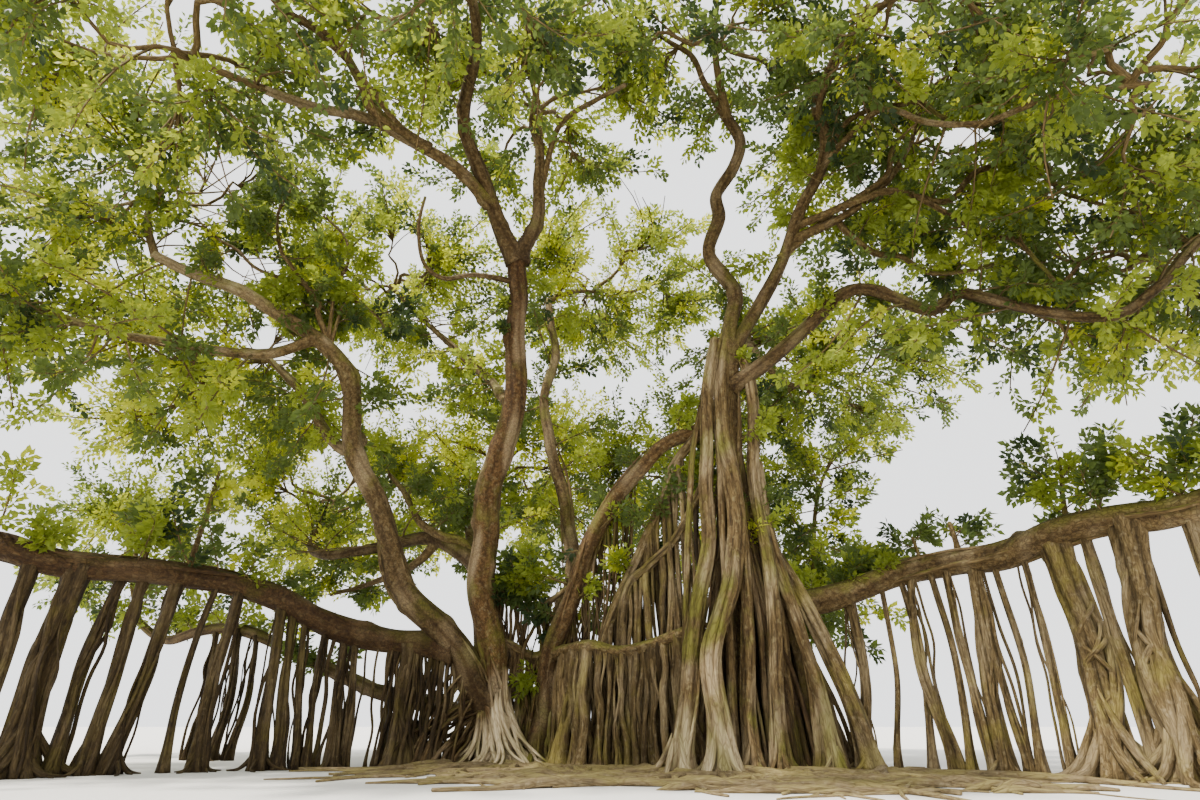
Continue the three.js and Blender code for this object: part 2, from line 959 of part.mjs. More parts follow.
// A mass grows by rule: a stem from the bough's tip to the middle, branches from it out to points spread
// evenly over the mass by the golden angle, and sprays along each branch and at its end.
function growMass(mass) {
  const { bough, middle, reach, seed, branches } = mass;
  const length = (sprayShare * (reach[0] + reach[1] + reach[2])) / 3;
  const tipPoint = bough.bends[bough.bends.length - 1];
  const before = bough.bends[bough.bends.length - 2];
  const step = vec(tipPoint).sub(vec(before)).normalize();
  const start = vec(tipPoint).addScaledVector(step, -0.5 * bough.tip).toArray();
  const stemEnd = mix(tipPoint, middle, 0.85);
  const stemBend = vec(mix(tipPoint, stemEnd, 0.5)).addScaledVector(step, 220).toArray();
  const stem = limb([start, stemBend, stemEnd], bough.tip * 0.85, twigRadius, { sides: 4, perSpan: 1 });
  const fits = (p) => keepsToSpace(mass, p) && clearOfLimbs(p);
  const parts = [tube(stem)];
  const blades = [];
  for (let k = 0; k < branches; k++) {
    const rise = 1 - (2 * (k + 0.5)) / branches;
    const level = Math.sqrt(1 - rise * rise);
    const turn = k * goldenAngle + 2 * Math.PI * chance(seed, 0);
    const aim = [level * Math.cos(turn), level * Math.sin(turn), rise].map((v, i) => v * reach[i]);
    const out = 1 - (length * (0.97 + 0.15 * chance(seed, k + 1))) / Math.hypot(...aim);
    const end = middle.map((v, i) => v + out * aim[i]);
    const root = mix(stemBend, stemEnd, 0.35 + 0.65 * chance(seed, k + 20));
    const bends = [root, end];
    const onBranch = (share) => mix(root, end, share);
    if (![0.45, 0.7, 0.85, 1].every((share) => fits(onBranch(share)))) continue;
    const frame = framesAlong(bends.map(vec))[1];
    const { along, side, across } = frame;
    const tipBlade = endSpray(vec(end), frame, length);
    const blade = tipBlade.every(fits) ? tipBlade : undefined;
    parts.push(tube(limb(bends, twigRadius, twigTipRadius, { sides: twigSides, perSpan: 1, blade })));
    spraysAlong.forEach(({ share, lean }, j) => {
      const turn = Math.PI / 3 + ((2 * Math.PI) / 3) * ((j + k) % 3);
      const outward = side.clone().multiplyScalar(Math.cos(turn)).addScaledVector(across, Math.sin(turn));
      const leaning = lean * (0.85 + 0.4 * chance(seed, 50 + 10 * k + j));
      const direction = along.clone().addScaledVector(outward, leaning).normalize();
      const leaf = spray(vec(onBranch(share)), direction, direction.clone().cross(along), length);
      const belly = mix(leaf[4], leaf[5], 0.5);
      if (![...leaf, belly, mix(belly, leaf[1], 0.5), mix(belly, leaf[0], 0.4)].every(fits)) return;
      const solid = solidFrom(leaf.flat(), sprayFaces);
      if (blades.some((other) => other.intersect(solid).volume() > 0)) return;
      blades.push(solid);
    });
  }
  const carrier = limbNodes.find((node) => node.tubes.includes(bough));
  return mainBody(union([...parts, ...blades]).asOriginal().simplify(woodSmoothing).subtract(carrier.kept));
}

// The tree
const tree = new THREE.Group();
tree.name = "banyan_tree";

function addMesh(name, solid, colour, roughness) {
  const made = solid.getMesh();
  const geometry = new THREE.BufferGeometry();
  geometry.setAttribute("position", new THREE.BufferAttribute(made.vertProperties, 3));
  geometry.setIndex(new THREE.BufferAttribute(made.triVerts, 1));
  geometry.computeVertexNormals();
  const material = new THREE.MeshStandardMaterial({ color: colour, roughness, metalness: 0 });
  const mesh = new THREE.Mesh(geometry, material);
  mesh.name = name;
  tree.add(mesh);
}

for (const { name, solid, colour } of limbNodes) addMesh(name, solid, colour, 0.9);
for (const mass of masses) addMesh(mass.name, growMass(mass), leafColour, 0.6);

export default tree;
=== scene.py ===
import math

import bpy
import numpy as np
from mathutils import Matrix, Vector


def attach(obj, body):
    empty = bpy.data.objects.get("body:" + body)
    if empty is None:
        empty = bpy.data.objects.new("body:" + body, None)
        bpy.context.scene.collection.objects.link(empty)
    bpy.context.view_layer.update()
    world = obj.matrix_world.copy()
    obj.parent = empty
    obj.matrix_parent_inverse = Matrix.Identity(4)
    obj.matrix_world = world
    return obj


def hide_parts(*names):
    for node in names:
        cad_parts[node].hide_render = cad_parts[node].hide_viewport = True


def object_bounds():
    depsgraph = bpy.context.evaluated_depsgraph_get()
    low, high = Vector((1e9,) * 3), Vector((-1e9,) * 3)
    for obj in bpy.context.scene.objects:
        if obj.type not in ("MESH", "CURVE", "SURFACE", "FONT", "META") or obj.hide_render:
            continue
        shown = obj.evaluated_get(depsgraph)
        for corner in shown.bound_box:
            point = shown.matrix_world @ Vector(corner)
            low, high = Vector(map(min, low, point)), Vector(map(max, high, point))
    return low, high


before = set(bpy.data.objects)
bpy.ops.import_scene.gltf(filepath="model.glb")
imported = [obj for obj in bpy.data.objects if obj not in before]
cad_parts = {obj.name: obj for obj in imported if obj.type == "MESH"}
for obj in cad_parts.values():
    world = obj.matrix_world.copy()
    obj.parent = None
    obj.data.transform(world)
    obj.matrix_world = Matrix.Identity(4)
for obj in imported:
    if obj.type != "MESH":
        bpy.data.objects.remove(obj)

cadBox = [list(map(float, corner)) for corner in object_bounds()]
print("frame loaded")

goldenAngle = math.pi * (3 - math.sqrt(5))
fullTurn = 6.28  # of a seeded angle
footDepth = 0.02  # how far roots are led on below the ground, where they are cut flat
eye = dict(place=(2.54, -20.0, 0.9), pitch=25, lens=21, sensor=36, wide=1200, high=800)


# Seeded numbers from 0 to 1: what a large sine leaves after its whole part.
def chance(seed, k):
    s = np.sin(np.asarray(seed, float) * 12.9898 + np.asarray(k, float) * 78.233) * 43758.5453
    return s - np.floor(s)


# Seeded angles: a seeded number of full turns.
def anyTurn(seed, k):
    return fullTurn * chance(seed, k)


# Seeded numbers between two limits. A power above 1 gathers them towards the first.
def within(limits, seed, k, power=1):
    return limits[0] + (limits[1] - limits[0]) * chance(seed, k) ** power


# Shares of a length in even steps, each moved on by a seeded part of a step.
def steppedShares(low, span, count, seed, jog=0.8):
    k = np.arange(count)
    return low + span * (k + jog * chance(seed, k)) / count


# Vectors scaled to length 1: each is divided by its own length.
def unit(v):
    return v / np.maximum(np.linalg.norm(v, axis=-1, keepdims=True), 1e-9)


# A smooth route through its bends: a cubic between each two, with slopes from the bends on either side.
def smoothRoute(bends, perSpan):
    p = np.asarray(bends, float)
    b, c = p[:-1], p[1:]
    slopeIn = (c - np.vstack([p[:1], p[:-2]])) / 2
    slopeOut = (np.vstack([p[2:], p[-1:]]) - b) / 2
    bend = 3 * (c - b) - 2 * slopeIn - slopeOut
    twist = slopeIn + slopeOut - 2 * (c - b)
    t = (np.arange(perSpan) / perSpan)[None, :, None]
    points = b[:, None] + t * (slopeIn[:, None] + t * (bend[:, None] + t * twist[:, None]))
    return np.vstack([points.reshape(-1, 3), p[-1:]])


# The length of a route up to each of its points: the sum of its steps.
def lengthsAlong(points):
    return np.concatenate([[0], np.cumsum(np.linalg.norm(np.diff(points, axis=0), axis=1))])


# Points at given shares of a route's length, found by reading each coordinate against the length.
def evenPoints(points, shares):
    lengths = lengthsAlong(points)
    at = np.asarray(shares, float) * lengths[-1]
    return np.stack([np.interp(at, lengths, points[:, i]) for i in range(3)], axis=-1)


# Points of a limb's smooth route at given shares of its length.
def pointsAlong(limb, shares, perSpan=8):
    return evenPoints(smoothRoute(limb["bends"], perSpan), shares)


# The one point at a share of a limb's length.
def pointAlong(limb, share):
    return pointsAlong(limb, [share])[0]


# The share of a limb's length at which its route reaches a given x.
def shareAtX(limb, x):
    points = smoothRoute(limb["bends"], 8)
    lengths = lengthsAlong(points)
    order = np.argsort(points[:, 0])
    return float(np.interp(x, points[order, 0], lengths[order] / lengths[-1]))


# The part of a route above the ground, and as far below it as roots are led on.
def aboveGround(points):
    above = points[:, 2] > -footDepth
    first, last = np.argmax(above), len(above) - 1 - np.argmax(above[::-1])
    return points[first : last + 1]


# Points at the feet of roots, just below the ground.
def feetAt(x, y):
    return np.stack(np.broadcast_arrays(x, y, -footDepth), -1)


# Along each route, the way it runs and two directions square to it, from the axis it runs least along.
def framesAlong(points):
    along = unit(np.gradient(points, axis=-2))
    least = np.abs(along).max(axis=-2).argmin(axis=-1)
    reference = np.eye(3)[least][..., None, :]
    side = unit(reference - (along * reference).sum(-1, keepdims=True) * along)
    return along, side, np.cross(along, side)


# The angles of a ring's corners.
def ringTurns(sides):
    return np.arange(sides) * 2 * np.pi / sides


# Directions at given angles from one direction towards another that is square to it.
def turned(turn, side, across):
    return np.cos(turn)[..., None] * side + np.sin(turn)[..., None] * across


# A rib's height at its phase: a cosine's size less its mean, so that ribs are round with narrow grooves.
def ribWave(phase):
    return np.abs(np.cos(phase / 2)) - 0.64


# Faces of tubes whose rings lie one after another: a quad between each two rings and neighbours, and a fan
# of triangles from each end ring to its pole. The poles of all tubes come after all rings.
def tubeFaces(tubes, rings, sides):
    i, j = np.meshgrid(np.arange(rings - 1), np.arange(sides), indexing="ij")
    nextJ = (j + 1) % sides
    quads = np.stack([i * sides + j, i * sides + nextJ, (i + 1) * sides + nextJ, (i + 1) * sides + j], -1)
    first = np.arange(tubes)[:, None] * rings * sides
    quads = (quads.reshape(1, -1, 4) + first[..., None]).reshape(-1, 4)
    poles = tubes * rings * sides + 2 * np.arange(tubes)[:, None]
    k = np.arange(sides)[None]
    last = first + (rings - 1) * sides
    low = np.stack([np.broadcast_to(poles, (tubes, sides)), first + (k + 1) % sides, first + k], -1)
    high = np.stack([np.broadcast_to(poles + 1, (tubes, sides)), last + k, last + (k + 1) % sides], -1)
    return quads, np.vstack([low.reshape(-1, 3), high.reshape(-1, 3)])


# A shape from its rings and poles, cut flat at the ground. Its grain runs round and along the limb.
def tubeShape(tubes, rings, sides, points, poles, grain, poleGrain):
    quads, tris = tubeFaces(tubes, rings, sides)
    points = np.vstack([points.reshape(-1, 3), poles.reshape(-1, 3)])
    points[:, 2] = np.maximum(points[:, 2], 0)
    grain = np.vstack([grain.reshape(-1, 3), poleGrain.reshape(-1, 3)])
    return dict(points=points, quads=quads, tris=tris, grain=grain)


# Marks on a shape for its bark: how pale it is, mostly painted sunlight, how warm it is, and how dark it is,
# mostly painted shade.
def tinted(shape, pale=0.0, warm=0.1, dark=0.0):
    shape["tint"] = np.tile([pale, warm, dark], (len(shape["points"]), 1))
    return shape


# Many tubes at once: each ring is its route's point plus the radius times a circle in the two directions
# square to the route. Ribs make the radius rise and fall round the ring.
def tubeBatch(routes, radii, sides, seed=0.0, ribs=0, ribDepth=0.0, twist=0.0):
    tubes, rings = routes.shape[:2]
    along, side, across = framesAlong(routes)
    turn = ringTurns(sides)
    steps = np.linalg.norm(np.diff(routes, axis=1), axis=2)
    run = np.concatenate([np.zeros((tubes, 1)), np.cumsum(steps, axis=1)], axis=1)[..., None]
    start = anyTurn(seed, np.arange(tubes))[:, None, None]
    wave = ribWave(ribs * turn + twist * run + start) if ribs else 0 * turn
    radius = radii[..., None] * (1 + 2 * ribDepth * wave)
    points = routes[:, :, None] + radius[..., None] * turned(turn, side[:, :, None], across[:, :, None])
    poles = np.stack([routes[:, 0], routes[:, -1] + along[:, -1] * radii[:, -1:] * 0.5], axis=1)
    place = chance(seed + 3, np.arange(tubes))[:, None, None] * 40
    runs = np.broadcast_to(run * 0.15, radius.shape)
    grain = np.stack([radius * np.cos(turn) + place, radius * np.sin(turn), runs], axis=-1)
    poleGrain = np.stack([grain[:, 0].mean(1), grain[:, -1].mean(1)], axis=1)
    return tubeShape(tubes, rings, sides, points, poles, grain, poleGrain)


# Several shapes as one: each one's faces count on from the points before it.
def joined(shapes):
    offsets = np.cumsum([0] + [len(s["points"]) for s in shapes])
    whole = {key: np.vstack([s[key] for s in shapes]) for key in ("points", "grain", "tint")}
    for key in ("quads", "tris"):
        whole[key] = np.vstack([s[key] + offset for s, offset in zip(shapes, offsets)])
    return whole


# A finished piece: the arrays go into a mesh at the origin, and it rides on the tree.
def makePiece(name, shape, material, nodes=(), smooth=True):
    quads, tris = shape["quads"], shape["tris"]
    mesh = bpy.data.meshes.new(name)
    mesh.vertices.add(len(shape["points"]))
    mesh.vertices.foreach_set("co", shape["points"].astype(np.float32).ravel())
    corners = np.concatenate([quads.ravel(), tris.ravel()]).astype(np.int32)
    starts = np.concatenate([np.arange(len(quads)) * 4, len(quads) * 4 + np.arange(len(tris)) * 3])
    mesh.loops.add(len(corners))
    mesh.loops.foreach_set("vertex_index", corners)
    mesh.polygons.add(len(starts))
    mesh.polygons.foreach_set("loop_start", starts.astype(np.int32))
    mesh.polygons.foreach_set("use_smooth", np.full(len(starts), smooth))
    mesh.update(calc_edges=True)
    for key in ("grain", "tint"):
        if key in shape:
            values = mesh.attributes.new(key, "FLOAT_VECTOR", "POINT").data
            values.foreach_set("vector", shape[key].astype(np.float32).ravel())
    mesh.validate()
    mesh.materials.append(material)
    piece = bpy.data.objects.new(name, mesh)
    bpy.context.scene.collection.objects.link(piece)
    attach(piece, "root")
    if nodes:
        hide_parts(*nodes)


# A shader node. Each input is linked, where another node's output is given for it, or set.
def addNode(tree, kind, inputs, **settings):
    node = tree.nodes.new(f"ShaderNode{kind}")
    for key, value in settings.items():
        setattr(node, key, value)
    for key, value in inputs.items():
        if isinstance(value, bpy.types.NodeSocket):
            tree.links.new(value, node.inputs[key])
        else:
            node.inputs[key].default_value = value
    return node


# Two values added or multiplied in a shader.
def mathNode(tree, operation, a, b):
    return addNode(tree, "Math", {0: a, 1: b}, operation=operation).outputs["Value"]


# A material whose shader has some inputs set, its node tree and its shader.
def newMaterial(name, values):
    material = bpy.data.materials.new(name)
    material.use_nodes = True
    shader = material.node_tree.nodes["Principled BSDF"]
    for key, value in values.items():
        shader.inputs[key].default_value = value
    return material, material.node_tree, shader


# Bark as masks: fine streaks and cracks that follow the limb, and soft patches that lie over the tree.
def barkPatternGroup():
    group = bpy.data.node_groups.new("barkPattern", "ShaderNodeTree")
    inputs = dict(Grain="Vector", Place="Vector", Fineness="Float", PatchSize="Float", SpotSize="Float")
    for name, kind in inputs.items():
        group.interface.new_socket(name=name, in_out="INPUT", socket_type=f"NodeSocket{kind}")
    for name in ("Streaks", "Cracks", "Patches", "Spots", "Height"):
        group.interface.new_socket(name=name, in_out="OUTPUT", socket_type="NodeSocketFloat")
    given = group.nodes.new("NodeGroupInput").outputs
    onGrain = {"Vector": given["Grain"], "Scale": given["Fineness"]}
    streaks = addNode(group, "TexNoise", {**onGrain, "Detail": 6, "Roughness": 0.62, "Distortion": 0.35})
    edges = addNode(group, "TexVoronoi", onGrain, feature="DISTANCE_TO_EDGE")
    narrow = {"Value": edges.outputs["Distance"], "From Max": 0.12, "To Min": 1, "To Max": 0}
    cracks = addNode(group, "MapRange", narrow).outputs["Result"]
    onPatches = {"Vector": given["Place"], "Scale": given["PatchSize"]}
    patches = addNode(group, "TexNoise", {**onPatches, "Detail": 5, "Roughness": 0.65})
    spots = addNode(group, "TexNoise", {"Vector": given["Place"], "Scale": given["SpotSize"], "Detail": 4})
    spotEdge = {"Value": spots.outputs["Fac"], "From Min": 0.55, "From Max": 0.66}
    height = mathNode(group, "ADD", streaks.outputs["Fac"], mathNode(group, "MULTIPLY", cracks, -0.35))
    masks = dict(Streaks=streaks.outputs["Fac"], Cracks=cracks, Patches=patches.outputs["Fac"],
                 Spots=addNode(group, "MapRange", spotEdge).outputs["Result"], Height=height)
    outside = group.nodes.new("NodeGroupOutput")
    for name, mask in masks.items():
        group.links.new(mask, outside.inputs[name])
    return group


# Bark's colour: a grey-brown and a darker brown by the streaks, olive moss on patches and on what faces up,
# then what the "tint" attribute marks: paler places, mostly painted sunlight, warmer bark, and darker places,
# mostly painted shade.
def barkMaterial(name, look, pattern):
    material, tree, shader = newMaterial(name, {"Specular IOR Level": 0.25})
    grain, tint = (
        addNode(tree, "Attribute", {}, attribute_name=key).outputs["Vector"] for key in ("grain", "tint"))
    masks = addNode(tree, "Group", {
        "Grain": grain, "Place": addNode(tree, "TexCoord", {}).outputs["Object"],
        "Fineness": look["fineness"], "PatchSize": look["patchSize"], "SpotSize": look["spotSize"],
    }, node_tree=pattern).outputs
    base = addNode(tree, "ValToRGB", {"Fac": masks["Streaks"]})
    base.color_ramp.elements.new(0.5)
    stops = zip(base.color_ramp.elements, (0.28, 0.5, 0.72), ("dark", "middle", "light"))
    for element, position, tone in stops:
        element.position = position
        element.color = (*look[tone], 1)

    marks = addNode(tree, "SeparateXYZ", {"Vector": tint}).outputs
    normal = addNode(tree, "NewGeometry", {}).outputs["Normal"]
    upward = addNode(tree, "SeparateXYZ", {"Vector": normal}).outputs["Z"]
    mossy = mathNode(tree, "ADD", masks["Patches"], mathNode(tree, "MULTIPLY", upward, look["mossUp"]))
    mossEdge = {"From Min": look["mossFrom"], "From Max": look["mossFrom"] + 0.14, "To Max": look["mossMost"]}
    moss = addNode(tree, "MapRange", {"Value": mossy, **mossEdge}).outputs["Result"]
    lichen = mathNode(tree, "MULTIPLY", masks["Spots"], look["lichenMost"])
    crack = mathNode(tree, "MULTIPLY", masks["Cracks"], look["crackMost"])
    colour = base.outputs["Color"]
    # The X mark mixes in the pale colour as painted sunlight; the Z mark multiplies by the last colour as
    # painted shade.
    for mask, over, blend in [
        (marks["Y"], "warm", "MULTIPLY"), (lichen, "lichen", "MIX"), (moss, "moss", "MIX"),
        (marks["X"], "pale", "MIX"), (crack, "crack", "MULTIPLY"), (marks["Z"], "paintedShade", "MULTIPLY"),
    ]:
        blending = {"Factor": mask, "A": colour, "B": (*look[over], 1)}
        colour = addNode(tree, "Mix", blending, data_type="RGBA", blend_type=blend).outputs["Result"]
    tree.links.new(colour, shader.inputs["Base Color"])
    rough = addNode(tree, "MapRange", {"Value": masks["Streaks"], "To Min": 0.95, "To Max": 0.72})
    tree.links.new(rough.outputs["Result"], shader.inputs["Roughness"])
    bump = addNode(tree, "Bump", {"Strength": 0.8, "Distance": look["bump"], "Height": masks["Height"]})
    tree.links.new(bump.outputs["Normal"], shader.inputs["Normal"])
    return material


# In each look, the pale colour paints sunlight, and the last colour paints shade in the grooves and on shaded
# limbs.
barkLook = dict(
    fineness=13, patchSize=0.75, spotSize=8, bump=0.035,
    dark=(0.042, 0.027, 0.011), middle=(0.117, 0.079, 0.030), light=(0.225, 0.163, 0.068),
    moss=(0.145, 0.14, 0.02), mossUp=0.14, mossFrom=0.50, mossMost=0.8,
    lichen=(0.265, 0.215, 0.105), lichenMost=0.45, warm=(1.0, 0.60, 0.36), pale=(0.72, 0.58, 0.36),
    crack=(0.42, 0.36, 0.3), crackMost=0.6, paintedShade=(0.28, 0.22, 0.16),
)
rootLook = dict(
    fineness=20, patchSize=0.9, spotSize=9, bump=0.025,
    dark=(0.044, 0.030, 0.013), middle=(0.127, 0.089, 0.035), light=(0.25, 0.188, 0.084),
    moss=(0.215, 0.178, 0.036), mossUp=0.10, mossFrom=0.51, mossMost=0.68,
    lichen=(0.31, 0.25, 0.145), lichenMost=0.4, warm=(1.0, 0.66, 0.45), pale=(0.72, 0.58, 0.36),
    crack=(0.45, 0.38, 0.3), crackMost=0.6, paintedShade=(0.165, 0.135, 0.07),
)
pattern = barkPatternGroup()
barkSkin = barkMaterial("bark", barkLook, pattern)
rootSkin = barkMaterial("rootBark", rootLook, pattern)

# How each kind of limb is shaped: ribs in shares of its radius, how much they twist for each metre, slow
# lumps, knots, how far the route sways, the size of the mesh's steps in metres, the collar where it leaves
# its bough, how far the grain is stretched, and how dark the painted shade in its grooves is.
kinds = {
    "trunk": dict(
        ribs=6, ribDepth=0.028, fineRibs=15, fineDepth=0.010, twist=0.25, lumps=0.105, knots=34,
        knotSize=0.26, sway=0.26, grid=0.05, step=0.085, collar=0.25, stretch=0.85, grooveShade=0.45),
    "bough": dict(
        ribs=4, ribDepth=0.026, fineRibs=9, fineDepth=0.010, twist=0.3, lumps=0.10, knots=12,
        knotSize=0.24, sway=0.30, grid=0.055, step=0.10, collar=0.45, stretch=0.7, grooveShade=0.65),
    "root": dict(
        ribs=5, ribDepth=0.11, fineRibs=11, fineDepth=0.025, twist=0.45, lumps=0.07, knots=3,
        knotSize=0.2, sway=0.22, grid=0.05, step=0.11, collar=0.5, stretch=0.2, grooveShade=1.0),
}
